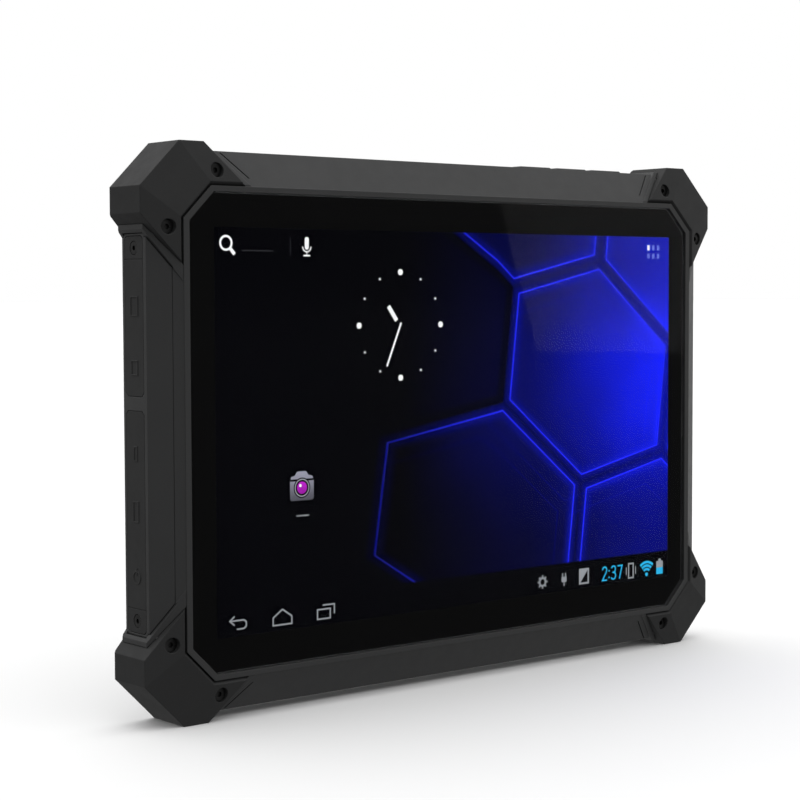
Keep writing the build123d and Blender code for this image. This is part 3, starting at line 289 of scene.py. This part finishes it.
def cell_distance(graph, across, up, shift):
    """Distance from the nearest cell's middle, 0.5 halfway to the next one, and its column."""
    flat = graph.node("ShaderNodeCombineXYZ")
    for index in range(2):
        row = skew[index]
        part = graph.math("MULTIPLY", across, row[0])
        rest = graph.math("MULTIPLY_ADD", up, row[1], -(row @ (CELL_MIDDLE + shift)))
        graph.plug(flat.inputs[index], graph.math("ADD", part, rest))
    half = (0.5, math.sqrt(3) / 2, 0.5)
    back = tuple(-value for value in half)
    first = graph.vector("WRAP", flat.outputs[0], half, back)
    second = graph.vector("WRAP", graph.vector("SUBTRACT", flat.outputs[0], half), half, back)
    lengths = []
    sideways = []
    for place in (first, second):
        flat_place = graph.vector("MULTIPLY", place, (1, 1, 0))
        size = graph.vector("ABSOLUTE", flat_place)
        slanted = graph.vector("DOT_PRODUCT", size, (0.5, math.sqrt(3) / 2, 0))
        lengths.append(graph.math("MAXIMUM", graph.split(size)["X"], slanted))
        sideways.append(graph.split(place)["X"])
    is_first = graph.math("LESS_THAN", *lengths)
    offset = graph.math("MULTIPLY_ADD", is_first, graph.math("SUBTRACT", *sideways), sideways[1])
    column = graph.math("SUBTRACT", graph.split(flat.outputs[0])["X"], offset)
    return graph.math("MINIMUM", *lengths), column


def glow(graph, distance, centre, width):
    """1 on a line, falling to 0 over width on both sides."""
    off = graph.math("ABSOLUTE", graph.math("SUBTRACT", distance, centre))
    return graph.ramp(off, width, 0.0)


# Each fade runs from one place in mm to another, then gives its value at both if not 0 and 1
FILL_RIGHT = (30.0, 112.0, 0.10, 0.88)
FILL_LEFT = (-30.0, 38.0)
FILL_FOOT = (-52.0, 8.0, 0.22, 1.0)
FILL_TOP = (66.0, 18.0, 0.5, 1.0)
LINES_START = (-55.0, 22.0, 0.25, 1.0)
LINES_FADE = (-50.0, 55.0, 0.2, 1.0)
BAR_TOP = (-57.4, -56.6)
# From one noise value to another, then the share of the fill at both
CLOUD = (0.25, 0.75, 0.75, 1.15)
# Share of the fill that stays between the cells, and on the left of the first lit column
BETWEEN_CELLS = 0.28
UNLIT_CELLS = 0.25
FIRST_COLUMN = -0.75
# Half width and strength of a line's core and halo, and of the faint second honeycomb
CORE = (0.0062, 0.95)
HALO = (0.05, 0.17)
GHOST = (0.007, 0.07)
GHOST_SHIFT = Vector((-9.0, -9.5))
CELL_BLUE = (0.006, 0.014, 1.0, 1)
LINE_BLUE = (0.02, 0.03, 1.0, 1)
PANEL_LEAK = (0.0006, 0.0006, 0.0012, 1)


def wallpaper(name):
    """Lit honeycomb, dark on the left and deep blue on the right, above a black bar."""
    made, graph, shader = new_material(name)
    coords = object_coords(graph)
    place = graph.split(coords)
    across = graph.math("MULTIPLY", place["X"], 1 / MM)
    up = graph.math("MULTIPLY", graph.math("SUBTRACT", place["Z"], MID_Z), 1 / MM)
    stretched = graph.math("MULTIPLY_ADD", across, STRETCH, STRETCH_FROM * (1 - STRETCH))
    drawn = graph.math("MAXIMUM", across, stretched)
    near, column = cell_distance(graph, drawn, up, Vector((0, 0)))
    far, _ = cell_distance(graph, drawn, up, GHOST_SHIFT)
    picture = graph.ramp(up, *BAR_TOP)
    in_cells = graph.math("GREATER_THAN", column, FIRST_COLUMN)
    inside = graph.ramp(near, OUTLINE_AT + 0.002, OUTLINE_AT - 0.004)
    fill = graph.chain(
        "MULTIPLY",
        graph.ramp(across, *FILL_RIGHT),
        graph.ramp(up, *FILL_FOOT),
        graph.ramp(up, *FILL_TOP),
        graph.ramp(across, *FILL_LEFT),
        graph.ramp(graph.noise(coords, 22.0, 3.0), *CLOUD),
        graph.math("MULTIPLY_ADD", inside, 1 - BETWEEN_CELLS, BETWEEN_CELLS),
        graph.math("MULTIPLY_ADD", in_cells, 1 - UNLIT_CELLS, UNLIT_CELLS),
    )
    shown = graph.chain("MULTIPLY", graph.ramp(across, *LINES_START), in_cells, picture)
    core, halo, ghost = (
        graph.math("MULTIPLY", glow(graph, distance, OUTLINE_AT, width), strength)
        for distance, (width, strength) in ((near, CORE), (near, HALO), (far, GHOST))
    )
    lines = graph.chain("ADD", core, halo, ghost)
    lines = graph.chain("MULTIPLY", lines, shown, graph.ramp(across, *LINES_FADE))
    light = graph.math("MULTIPLY", graph.math("ADD", fill, lines), picture)
    tinted = graph.mix(light, (0, 0, 0, 1), CELL_BLUE)
    bright = graph.mix(graph.chain("MULTIPLY", core, shown, 0.5), tinted, LINE_BLUE)
    glimmer = graph.node("ShaderNodeMix", data_type="RGBA", blend_type="ADD")
    glimmer.inputs[0].default_value = 1.0
    graph.plug(glimmer.inputs[6], bright)
    glimmer.inputs[7].default_value = PANEL_LEAK
    shader.inputs["Base Color"].default_value = (0, 0, 0, 1)
    shader.inputs["Specular IOR Level"].default_value = 0.0
    shader.inputs["Emission Strength"].default_value = 1.0
    graph.plug(shader.inputs["Emission Color"], glimmer.outputs[2])
    return made


# ---------------------------------------------------------------- materials by slot
FINISH = {
    "shell_plastic": moulded(
        "shell_plastic_moulded", grey(0.023, 0.03), grey(0.046, 0.03), rough=0.50, specular=0.32
    ),
    "bumper_rubber": moulded(
        "bumper_rubber_moulded", grey(0.0205, 0.02), grey(0.034, 0.02), rough=0.62, specular=0.19,
        grain=0.45 * MM, depth=0.03 * MM, edge=0.5 * MM
    ),
    "cover_rubber": moulded(
        "cover_rubber_moulded", grey(0.019, 0.02), grey(0.034, 0.02), rough=0.60, specular=0.24,
        grain=0.3 * MM, depth=0.02 * MM, edge=0.25 * MM
    ),
    "key_plastic": moulded(
        "key_plastic_moulded", grey(0.026, 0.02), grey(0.050), rough=0.48, specular=0.40,
        edge=0.3 * MM
    ),
    "black_plastic": moulded(
        "black_plastic_moulded", grey(0.012), grey(0.030), rough=0.50, specular=0.35, edge=0.2 * MM
    ),
    "battery_wrap": moulded(
        "battery_wrap_film", grey(0.030, 0.1), grey(0.050), rough=0.35, specular=0.45, edge=0.4 * MM
    ),
    "camera_trim": moulded(
        "camera_trim_gloss", grey(0.010), grey(0.030), rough=0.22, specular=0.50, edge=0.2 * MM
    ),
    "antenna_ceramic": moulded(
        "antenna_ceramic_fired", (0.50, 0.45, 0.35, 1), (0.60, 0.56, 0.46, 1),
        rough=0.5, specular=0.4
    ),
    "screw_steel": metal(
        "screw_steel_black_oxide", grey(0.030), grey(0.012), 0.45, (600, 600, 600), metallic=0.85
    ),
    "backlight_metal": metal("backlight_metal_sheet", grey(0.62), grey(0.50), 0.3),
    "chassis_metal": metal(
        "chassis_metal_cast", grey(0.52, 0.02), grey(0.40), 0.45, (700, 700, 700)
    ),
    "connector_steel": metal(
        "connector_steel_plated", grey(0.62), grey(0.45), 0.22, (80, 1500, 1500)
    ),
    "insert_brass": metal(
        "insert_brass_knurled", (0.66, 0.46, 0.17, 1), (0.42, 0.27, 0.09, 1), 0.32
    ),
    "circuit_board": board_material("circuit_board_resist"),
    "black_print": printed_black("black_print_ink"),
    "cover_glass": clear_glass(
        "cover_glass_clear", ior=1.075, tint=(0.97, 0.985, 1.0, 1), smudge=0.015
    ),
    "lens_glass": clear_glass(
        "lens_glass_coated", ior=1.45, tint=(0.80, 0.84, 1.0, 1), smudge=0.02
    ),
    "flash_lamp": lit("flash_lamp_phosphor", (0.75, 0.62, 0.20, 1), 0.25, 0.1, 0.15, 0.16),
    "screen": wallpaper("screen_picture"),
}

slot_of = {part["node"]: part["material_slot"] for part in frame["record"]["subparts"]}
for node_name, node in frame["nodes"].items():
    node.data.materials.clear()
    node.data.materials.append(FINISH[slot_of[node_name]])


# ---------------------------------------------------------------- piece helpers
def new_object(name, mesh_data, material):
    """Object with outward faces from finished bmesh data."""
    mesh = bpy.data.meshes.new(name)
    bmesh.ops.recalc_face_normals(mesh_data, faces=mesh_data.faces)
    mesh_data.to_mesh(mesh)
    mesh_data.free()
    made = bpy.data.objects.new(name, mesh)
    bpy.context.scene.collection.objects.link(made)
    mesh.materials.append(material)
    return made


def finish_piece(name, mesh_data, slot, material=None):
    """Piece of the tablet, in its slot's material unless it has one of its own."""
    piece = new_object(name, mesh_data, material or FINISH[slot])
    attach(piece, "tablet")


def join_rings(mesh_data, rings):
    """Closed skin over rings of points, which all hold the same number, with both ends capped."""
    made = [[mesh_data.verts.new(point) for point in ring] for ring in rings]
    mesh_data.faces.new(made[0])
    mesh_data.faces.new(list(reversed(made[-1])))
    count = len(made[0])
    for low, high in zip(made, made[1:]):
        for i in range(count):
            j = (i + 1) % count
            mesh_data.faces.new((low[i], high[i], high[j], low[j]))


def on_glass(x, y, z):
    """Point from x and height in mm, with heights from the middle of the glass, and y in metres."""
    return (x * MM, y, MID_Z + z * MM)


def add_plate(mesh_data, outline, y_front, y_back):
    """Thin closed plate from an outline of x and height in mm."""
    join_rings(mesh_data, [[on_glass(x, y, z) for x, z in outline] for y in (y_front, y_back)])


def round_points(x, z, radius, count):
    turns = [2 * math.pi * i / count for i in range(count)]
    return [(x + radius * math.cos(turn), z + radius * math.sin(turn)) for turn in turns]


def disc(x, z, radius, count=28):
    return [round_points(x, z, radius, count)]


# A mitre is no longer than the half width over this
MITRE_LIMIT = 0.35


def stroke(points, width, closed=False):
    """Pen stroke along points as one quad for each run, with mitred joints."""
    count = len(points)
    sides = []
    for i in range(count):
        here = Vector(points[i])
        before = Vector(points[i - 1]) if closed or i > 0 else None
        after = Vector(points[(i + 1) % count]) if closed or i < count - 1 else None
        way_in = (here - before).normalized() if before is not None else None
        way_out = (after - here).normalized() if after is not None else None
        way_in = way_in or way_out
        way_out = way_out or way_in
        across = Vector((-way_in.y, way_in.x)) + Vector((-way_out.y, way_out.x))
        across.normalize()
        square = across.dot(Vector((-way_in.y, way_in.x)))
        reach = width / 2 / max(MITRE_LIMIT, square)
        sides.append((here + across * reach, here - across * reach))
    quads = []
    for i in range(count if closed else count - 1):
        (a, b), (c, d) = sides[i], sides[(i + 1) % count]
        quads.append([tuple(a), tuple(b), tuple(d), tuple(c)])
    return quads


def arc(x, z, radius, start, end, width, count=18):
    turns = [math.radians(start + (end - start) * i / count) for i in range(count + 1)]
    return stroke([(x + radius * math.cos(t), z + radius * math.sin(t)) for t in turns], width)


def circle(x, z, radius, width, count=32):
    return stroke(round_points(x, z, radius, count), width, closed=True)


def box_outline(x0, x1, z0, z1):
    return [[(x0, z0), (x1, z0), (x1, z1), (x0, z1)]]


def screen_piece(name, outlines, material, y_front=ICON_FRONT_Y, y_back=ICON_BACK_Y):
    """Flat shapes just behind the glass."""
    mesh_data = bmesh.new()
    for outline in outlines:
        add_plate(mesh_data, outline, y_front, y_back)
    finish_piece(name, mesh_data, "screen", material)


# ---------------------------------------------------------------- picture on the screen
# All outlines are in mm, across and up from the middle of the glass.
WHITE = lit("screen_white", (1.0, 1.0, 1.0, 1), 0.95, 0.04, 0.02, 0.18)
PALE = lit("screen_pale", (0.42, 0.44, 0.47, 1), 0.75, 0.06, 0.02, 0.05)
DIM = lit("screen_dim", (0.03, 0.03, 0.035, 1), 1.0, 0.1, 0.02, 0.18)
CYAN = lit("screen_cyan", (0.03, 0.52, 0.90, 1), 0.9, 0.05, 0.02, 0.05)
CASE = lit("screen_camera_case", (0.36, 0.36, 0.44, 1), 0.9, 0.75, 0.0705, 0.082)
BLACK = lit("screen_black", (0.004, 0.004, 0.006, 1), 1.0, 0.5, 0.07, 0.08)
VIOLET = lit("screen_violet", (0.55, 0.02, 0.62, 1), 0.9, 0.5, 0.072, 0.078)
PALE_BLUE = lit("screen_pale_blue", (0.16, 0.22, 0.75, 1), 0.9, 0.1, 0.15, 0.16)
HALO_BLUE = lit("screen_halo_blue", (0.01, 0.05, 0.9, 1), 0.6, 0.1, 0.15, 0.16)

magnifier = circle(-102.6, 62.6, 2.25, 0.75) + stroke([(-101.0, 60.9), (-99.2, 58.9)], 1.2)
screen_piece("screen_search_icon", magnifier, WHITE)
mic = stroke([(-69.6, 64.2), (-69.6, 61.6)], 1.7)
mic += disc(-69.6, 64.2, 0.85) + disc(-69.6, 61.6, 0.85)
mic += arc(-69.6, 61.8, 1.75, 180, 360, 0.4) + stroke([(-69.6, 60.0), (-69.6, 58.9)], 0.4)
mic += stroke([(-71.0, 58.75), (-68.2, 58.75)], 0.5)
screen_piece("screen_microphone_icon", mic, WHITE)
screen_piece("screen_search_field", stroke([(-96.2, 60.2), (-83.6, 60.2)], 0.35), DIM)
screen_piece("screen_search_divider", stroke([(-76.5, 64.7), (-76.5, 58.6)], 0.25), DIM)

CLOCK = Vector((-28.6, 34.8))
CLOCK_R = 18.6
dots = []
for hour in range(12):
    turn = math.radians(30 * hour)
    dot_size = 1.1 if hour % 3 == 0 else 0.45
    dot_x, dot_z = CLOCK.x + CLOCK_R * math.sin(turn), CLOCK.y + CLOCK_R * math.cos(turn)
    dots += disc(dot_x, dot_z, dot_size, 20)
screen_piece("screen_clock_marks", dots, WHITE)
hands = stroke([(-34.06, 41.44), (-30.36, 36.39)], 1.6)
hands += stroke([(-28.3, 35.6), (-34.83, 20.38)], 0.75)
screen_piece("screen_clock_hands", hands, WHITE)

ICON_CAMERA = (-72.2, -19.9)
LENS_FRONT_Y = ICON_FRONT_Y - 0.02 * MM
LENS_BACK_Y = ICON_FRONT_Y - 0.005 * MM
camera_case = [[(-77.2, -23.6), (-76.6, -24.2), (-67.8, -24.2), (-67.2, -23.6), (-67.2, -17.2),
                (-77.2, -17.2)]]
camera_case += [[(-76.9, -16.9), (-67.5, -16.9), (-67.7, -16.0), (-69.4, -15.7), (-70.4, -14.3),
                 (-74.2, -14.3), (-75.2, -15.7), (-76.7, -16.0)]]
bezel = disc(*ICON_CAMERA, 3.5) + box_outline(-77.1, -67.3, -17.6, -16.9)
screen_piece("screen_camera_case", camera_case, CASE, HALO_FRONT_Y, HALO_BACK_Y)
screen_piece("screen_camera_ring", bezel, BLACK)
screen_piece("screen_camera_rim", circle(*ICON_CAMERA, 2.9, 0.35), PALE, LENS_FRONT_Y, LENS_BACK_Y)
screen_piece("screen_camera_lens", disc(*ICON_CAMERA, 2.1), VIOLET, LENS_FRONT_Y, LENS_BACK_Y)
screen_piece("screen_camera_glint", disc(-72.9, -19.1, 0.55), WHITE,
             LENS_FRONT_Y - 0.008 * MM, LENS_FRONT_Y - 0.002 * MM)
screen_piece("screen_camera_caption", stroke([(-74.6, -29.4), (-69.3, -29.4)], 0.5), PALE)

back_arrow = stroke([(-101.9, -62.4), (-96.6, -62.4), (-95.6, -63.1), (-95.6, -64.6),
                     (-96.6, -65.3), (-99.4, -65.3)], 0.5)
back_arrow += stroke([(-100.3, -60.9), (-102.2, -62.4), (-100.3, -63.9)], 0.5)
home = stroke([(-84.6, -63.2), (-80.7, -60.6), (-76.8, -63.2), (-76.8, -65.8),
               (-84.6, -65.8)], 0.5, True)
recent = stroke([(-65.9, -65.7), (-60.4, -65.7), (-60.4, -62.4), (-65.9, -62.4)], 0.5, True)
recent += stroke([(-63.6, -61.0), (-58.6, -61.0), (-58.6, -64.3)], 0.5)
screen_piece("screen_back_icon", back_arrow, PALE)
screen_piece("screen_home_icon", home, PALE)
screen_piece("screen_recent_icon", recent, PALE)

APP_X = (98.0, 100.75, 103.5)
APP_Z = (63.6, 60.3)
tiles = [box_outline(x - 0.65, x + 0.65, z - 1.0, z + 1.0)[0] for z in APP_Z for x in APP_X]
screen_piece("screen_app_grid", tiles[1:], PALE_BLUE)
screen_piece("screen_app_first", tiles[:1], WHITE)
screen_piece("screen_app_halo", disc(APP_X[0], APP_Z[0], 1.7), HALO_BLUE, HALO_FRONT_Y, HALO_BACK_Y)

GEAR = (40.65, -63.2)
gear = circle(*GEAR, 1.5, 0.7)
for root, tip in zip(round_points(*GEAR, 1.7, 8), round_points(*GEAR, 2.6, 8)):
    gear += stroke([root, tip], 0.6)
plug = box_outline(50.7, 53.3, -64.3, -62.3) + box_outline(51.0, 51.5, -62.3, -60.9)
plug += box_outline(52.5, 53.0, -62.3, -60.9) + stroke([(52.0, -64.3), (52.0, -65.8)], 0.5)
page = stroke([(60.4, -65.8), (65.0, -65.8), (65.0, -60.4), (60.4, -60.4)], 0.7, True)
page += [[(60.6, -60.6), (60.6, -65.6), (64.8, -60.6)]]
screen_piece("screen_status_gear", gear, PALE)
screen_piece("screen_status_plug", plug, PALE)
screen_piece("screen_status_page", page, PALE)


DIGIT_FOOT = -66.0
DIGIT_PEN = 0.55


def digit(points, x):
    """One digit, from points on a field 2.6 wide and 5.4 high."""
    return stroke([(x + across, DIGIT_FOOT + up) for across, up in points], DIGIT_PEN)


TWO = [(0.1, 4.3), (0.5, 5.1), (1.3, 5.4), (2.1, 5.1), (2.5, 4.3), (2.2, 3.2), (1.2, 1.9),
       (0.1, 0.2), (2.6, 0.2)]
THREE = [(0.2, 4.6), (0.7, 5.2), (1.4, 5.4), (2.2, 5.0), (2.4, 4.1), (2.1, 3.2), (1.2, 2.9),
         (2.2, 2.5), (2.6, 1.6), (2.2, 0.6), (1.3, 0.2), (0.5, 0.4), (0.1, 1.0)]
SEVEN = [(0.1, 5.2), (2.6, 5.2), (1.1, 0.1)]
time_shown = digit(TWO, 72.7) + digit(THREE, 77.6) + digit(SEVEN, 81.1)
time_shown += disc(76.5, -64.9, 0.35, 14) + disc(76.5, -62.3, 0.35, 14)
screen_piece("screen_status_time", time_shown, CYAN)
phone = stroke([(87.4, -66.2), (90.0, -66.2), (90.0, -60.6), (87.4, -60.6)], 0.6, True)
phone += stroke([(86.1, -64.9), (86.1, -61.9)], 0.4) + stroke([(91.3, -64.9), (91.3, -61.9)], 0.4)
screen_piece("screen_status_phone", phone, PALE)
fan = disc(97.65, -65.7, 0.75, 16)
for reach in (2.0, 3.4, 4.8):
    fan += arc(97.65, -66.0, reach + 0.4, 48, 132, 0.95)
screen_piece("screen_status_wireless", fan, CYAN)
charged = box_outline(103.3, 107.0, -66.2, -63.6)
empty = box_outline(103.3, 107.0, -63.6, -61.0) + box_outline(104.5, 105.8, -61.0, -60.1)
screen_piece("screen_status_battery_level", charged, CYAN)
screen_piece("screen_status_battery_case", empty, PALE)

# ---------------------------------------------------------------- moulded and fitted details
BACK_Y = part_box("rear_cover")[1].y
RIB_HEIGHT = 0.35 * MM
RIB_BEVEL = 0.35
RIB_HALF = 0.9


def add_ridge(mesh_data, x0, x1, z0, z1, height, bevel=RIB_BEVEL):
    """Raised bar on the back with sloped sides, from corners in mm."""
    rings = []
    steps = ((BACK_Y, 0.0), (BACK_Y + height * 0.4, bevel * 0.25), (BACK_Y + height, bevel))
    for y, inset in steps:
        left, right = x0 + inset, x1 - inset
        low, high = z0 + inset, z1 - inset
        corners = ((left, low), (right, low), (right, high), (left, high))
        rings.append([on_glass(x, y, z) for x, z in corners])
    join_rings(mesh_data, rings)


RIB_FIRST_Z = -40.0
RIB_STEP = 5.5
ribs = bmesh.new()
for row in range(5):
    z = RIB_FIRST_Z - RIB_STEP * row
    add_ridge(ribs, -110.0 + 2.5 * row, -44.0, z - RIB_HALF, z + RIB_HALF, RIB_HEIGHT)
finish_piece("rear_cover_ribs", ribs, "shell_plastic")

DOOR_MIDDLE = sum(corner.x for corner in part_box("battery_door")) / 2 / MM
GRIP_Z = 50.0
GRIP_STEP = 4.4
grips = bmesh.new()
for z in (-GRIP_Z, GRIP_Z):
    for step in range(-5, 6):
        x = DOOR_MIDDLE + GRIP_STEP * step
        half_length = 6.5 - 0.7 * abs(step)
        add_ridge(grips, x - RIB_HALF, x + RIB_HALF, z - half_length, z + half_length, RIB_HEIGHT)
finish_piece("battery_door_grips", grips, "shell_plastic")

# Blank plate with a thin metal frame 1 mm inside its edge
PLATE_X = (-104.0, -50.0)
PLATE_Z = (-24.0, 6.0)
FRAME_IN = 1.0
FRAME_W = 0.4
plate = bmesh.new()
add_ridge(plate, *PLATE_X, *PLATE_Z, 0.12 * MM, 0.1)
finish_piece("blank_rating_plate", plate, "battery_wrap")
left, right = PLATE_X[0] + FRAME_IN, PLATE_X[1] - FRAME_IN
low, high = PLATE_Z[0] + FRAME_IN, PLATE_Z[1] - FRAME_IN
plate_frame = bmesh.new()
for bar in (
    (left, right, high - FRAME_W, high),
    (left, right, low, low + FRAME_W),
    (left, left + FRAME_W, low + FRAME_W, high - FRAME_W),
    (right - FRAME_W, right, low + FRAME_W, high - FRAME_W),
):
    add_ridge(plate_frame, *bar, 0.16 * MM, 0.05)
finish_piece("blank_rating_plate_frame", plate_frame, "chassis_metal")


def add_contact(mesh_data, x0, x1, y0, y1, z, width):
    """Sprung contact strip: flat, with its mouth end turned towards the tongue."""
    toe = (y1 - y0) * 0.7
    profile = ((x0, y0 + toe), (x0 + 0.5, y0), (x1, y0), (x1, y1), (x0, y1))
    heights = (z - width / 2, z + width / 2)
    join_rings(mesh_data, [[on_glass(x, y * MM, height) for x, y in profile] for height in heights])


GOLD = metal(
    "contact_gold_plated", (0.80, 0.55, 0.20, 1), (0.62, 0.40, 0.13, 1), 0.25, (60, 900, 900)
)
MOUTH_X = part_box("usb_a_socket")[0].x / MM
CONTACT_X = MOUTH_X + 1.4
USB_A_Z = -25.0
USB_A_PITCH = 2.5
USB_A_FACES = (3.38, 3.48)
usb_a = bmesh.new()
for step in (-1.5, -0.5, 0.5, 1.5):
    add_contact(usb_a, CONTACT_X, MOUTH_X + 10, *USB_A_FACES, USB_A_Z + USB_A_PITCH * step, 1.0)
finish_piece("usb_a_contacts", usb_a, "connector_steel", GOLD)
USB_C_Z = -6.0
USB_C_PITCH = 0.5
# Outer and inner face of the contacts in front of the small socket's tongue, and behind it
USB_C_ROWS = ((1.68, 1.74), (2.52, 2.46))
usb_c = bmesh.new()
for step in range(12):
    z = USB_C_Z + USB_C_PITCH * (step - 5.5)
    for faces in USB_C_ROWS:
        add_contact(usb_c, CONTACT_X, MOUTH_X + 8, *faces, z, 0.26)
finish_piece("usb_c_contacts", usb_c, "connector_steel", GOLD)

# Thin rubber web that joins each port cover's screwed end to its flap across the crease
WEB_DEPTH = 0.2 * MM
WEB_T = 0.3 * MM
WEB_REACH = 0.5 * MM
WEB_STEPS = 10
WEB_INSET = 0.15 * MM


def hinge_web(name, tab, flap):
    """Strip just under the covers' outer faces, running from the tab across the crease into the
    flap.
    """
    tab_low, tab_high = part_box(tab)
    flap_low, flap_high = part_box(flap)
    if tab_low.z > flap_low.z:
        tab_end, flap_end = tab_low.z, flap_high.z
    else:
        tab_end, flap_end = tab_high.z, flap_low.z
    into_flap = WEB_REACH if flap_end > tab_end else -WEB_REACH
    z_start = tab_end - into_flap
    z_stop = flap_end + into_flap
    x = tab_low.x + WEB_DEPTH
    y_front = tab_low.y + WEB_INSET
    y_back = tab_high.y - WEB_INSET
    section = ((x, y_front), (x, y_back), (x + WEB_T, y_back), (x + WEB_T, y_front))
    heights = [z_start + (z_stop - z_start) * step / WEB_STEPS for step in range(WEB_STEPS + 1)]
    mesh_data = bmesh.new()
    join_rings(mesh_data, [[(*corner, z) for corner in section] for z in heights])
    web = new_object(name, mesh_data, FINISH["cover_rubber"])
    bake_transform(web)


hinge_web("upper_cover_web", "upper_cover_tab", "upper_cover_flap")
hinge_web("lower_cover_web", "lower_cover_tab", "lower_cover_flap")

# Domed front element of the rear camera, under its window, with a small flat crown
LENS_X = -88.0
LENS_Z = 63.0
LENS_R = 2.6
LENS_RISE = 0.14 * MM
LENS_CLEAR = 0.02 * MM
LENS_TILTS = (0, 15, 30, 45, 60, 75)
CROWN_SHARE = 0.2
lens_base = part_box("camera_module")[1].y + LENS_CLEAR
rings = []
for tilt in LENS_TILTS:
    radius = LENS_R * (CROWN_SHARE if tilt == LENS_TILTS[-1] else math.cos(math.radians(tilt)))
    y = lens_base + LENS_RISE * math.sin(math.radians(tilt))
    rings.append([on_glass(x, y, z) for x, z in round_points(LENS_X, LENS_Z, radius, 40)])
dome = bmesh.new()
join_rings(dome, rings)
finish_piece("rear_camera_lens", dome, "camera_trim")

# ---------------------------------------------------------------- floor, camera, lights
FLOOR_REACH = 30.0
FLOOR_DROP = 0.02 * MM
floor_data = bmesh.new()
bmesh.ops.create_grid(floor_data, x_segments=8, y_segments=8, size=FLOOR_REACH)
floor_mesh = bpy.data.meshes.new("floor")
floor_data.to_mesh(floor_mesh)
floor_data.free()
floor = bpy.data.objects.new("floor", floor_mesh)
bpy.context.scene.collection.objects.link(floor)
floor.location.z = -FLOOR_DROP
floor.visible_diffuse = False
floor.visible_glossy = False
floor_material, floor_graph, floor_shader = new_material("floor_paper")
paper = floor_graph.noise(object_coords(floor_graph), 3.0, 2.0)
floor_graph.plug(floor_shader.inputs["Base Color"], floor_graph.mix(paper, grey(0.79), grey(0.80)))
floor_shader.inputs["Roughness"].default_value = 0.7
floor_shader.inputs["Specular IOR Level"].default_value = 0.1
floor_mesh.materials.append(floor_material)

CAMERA_AT = Vector((-0.4600, -0.5321, 0.14105))
YAW = math.radians(39.504)
PITCH = math.radians(3.148)
ROLL = math.radians(-0.168)
ahead = Vector((math.sin(YAW) * math.cos(PITCH), math.cos(YAW) * math.cos(PITCH), -math.sin(PITCH)))
aside = Vector((math.cos(YAW), -math.sin(YAW), 0))
turned = Matrix((aside, aside.cross(ahead), -ahead)).transposed() @ Matrix.Rotation(ROLL, 3, "Z")
camera_data = bpy.data.cameras.new("camera")
camera_data.sensor_width = 36.0
camera_data.lens = 86.47
camera_data.clip_start = 0.01
camera_data.clip_end = 100.0
camera = bpy.data.objects.new("camera", camera_data)
camera.matrix_world = Matrix.Translation(CAMERA_AT) @ turned.to_4x4()
bpy.context.scene.collection.objects.link(camera)
bpy.context.scene.camera = camera
bpy.context.scene.view_settings.view_transform = "Standard"

# Soft studio: a bright surround, a little darker to the front, the left and below, and white to
# the camera itself. Each change gives where along an axis it starts and ends, and its two values.
STUDIO_LEVEL = 0.70
FRONT_ADDS = (0.1, -0.70, 0.0, -0.10)
LEFT_ADDS = (-0.2, -0.8, 0.0, -0.17)
RIGHT_ADDS = (0.80, 1.0, 0.0, 0.30)
OVERHEAD_ADDS = (0.20, 1.0, 0.0, 1.25)
BELOW_SCALES = (0.0, -0.25, 1.0, 0.62)
world = bpy.data.worlds.new("studio")
bpy.context.scene.world = world
world.use_nodes = True
world.node_tree.nodes.clear()
studio = Graph(world.node_tree)
direction = studio.split(studio.node("ShaderNodeTexCoord").outputs["Generated"])
level = studio.chain(
    "ADD",
    studio.ramp(direction["Y"], *FRONT_ADDS),
    studio.ramp(direction["X"], *LEFT_ADDS),
    studio.ramp(direction["X"], *RIGHT_ADDS),
    studio.ramp(direction["Z"], *OVERHEAD_ADDS),
    STUDIO_LEVEL,
)
level = studio.math("MULTIPLY", level, studio.ramp(direction["Z"], *BELOW_SCALES))
seen = studio.node("ShaderNodeLightPath").outputs["Is Camera Ray"]
strength = studio.node("ShaderNodeMix", data_type="FLOAT")
studio.plug(strength.inputs[0], seen)
studio.plug(strength.inputs[2], level)
strength.inputs[3].default_value = 1.0
backdrop = studio.node("ShaderNodeBackground")
backdrop.inputs["Color"].default_value = (1, 1, 1, 1)
studio.plug(backdrop.inputs["Strength"], strength.outputs[0])
studio.plug(studio.node("ShaderNodeOutputWorld").inputs[0], backdrop.outputs[0])

# Window-like lamp that the upper right of the glass mirrors: one corner, the directions and
# lengths of two sides, and how many times longer each side is made
LAMP_CORNER = Vector((1.011, -1.0193, 0.07845))
LAMP_ACROSS = Vector((0.192, 0.039, -0.006))
LAMP_UP = Vector((0.011, -0.087, 0.164))
LAMP_WIDER = 1.6
LAMP_TALLER = 1.9
LAMP_RADIANCE = 2.1
lamp_x = LAMP_ACROSS.normalized()
lamp_z = LAMP_ACROSS.cross(LAMP_UP).normalized()
lamp_y = lamp_z.cross(lamp_x)
lamp_data = bpy.data.lights.new("window_lamp", "AREA")
lamp_data.shape = "RECTANGLE"
lamp_data.size = LAMP_ACROSS.length * LAMP_WIDER
lamp_data.size_y = LAMP_UP.length * LAMP_TALLER
lamp_data.energy = LAMP_RADIANCE * math.pi * lamp_data.size * lamp_data.size_y
lamp = bpy.data.objects.new("window_lamp", lamp_data)
lamp_middle = LAMP_CORNER + LAMP_ACROSS * LAMP_WIDER / 2 + LAMP_UP * LAMP_TALLER / 2
lamp_turn = Matrix((lamp_x, lamp_y, lamp_z)).transposed().to_4x4()
lamp.matrix_world = Matrix.Translation(lamp_middle) @ lamp_turn
lamp.visible_camera = False
lamp.visible_diffuse = False
bpy.context.scene.collection.objects.link(lamp)
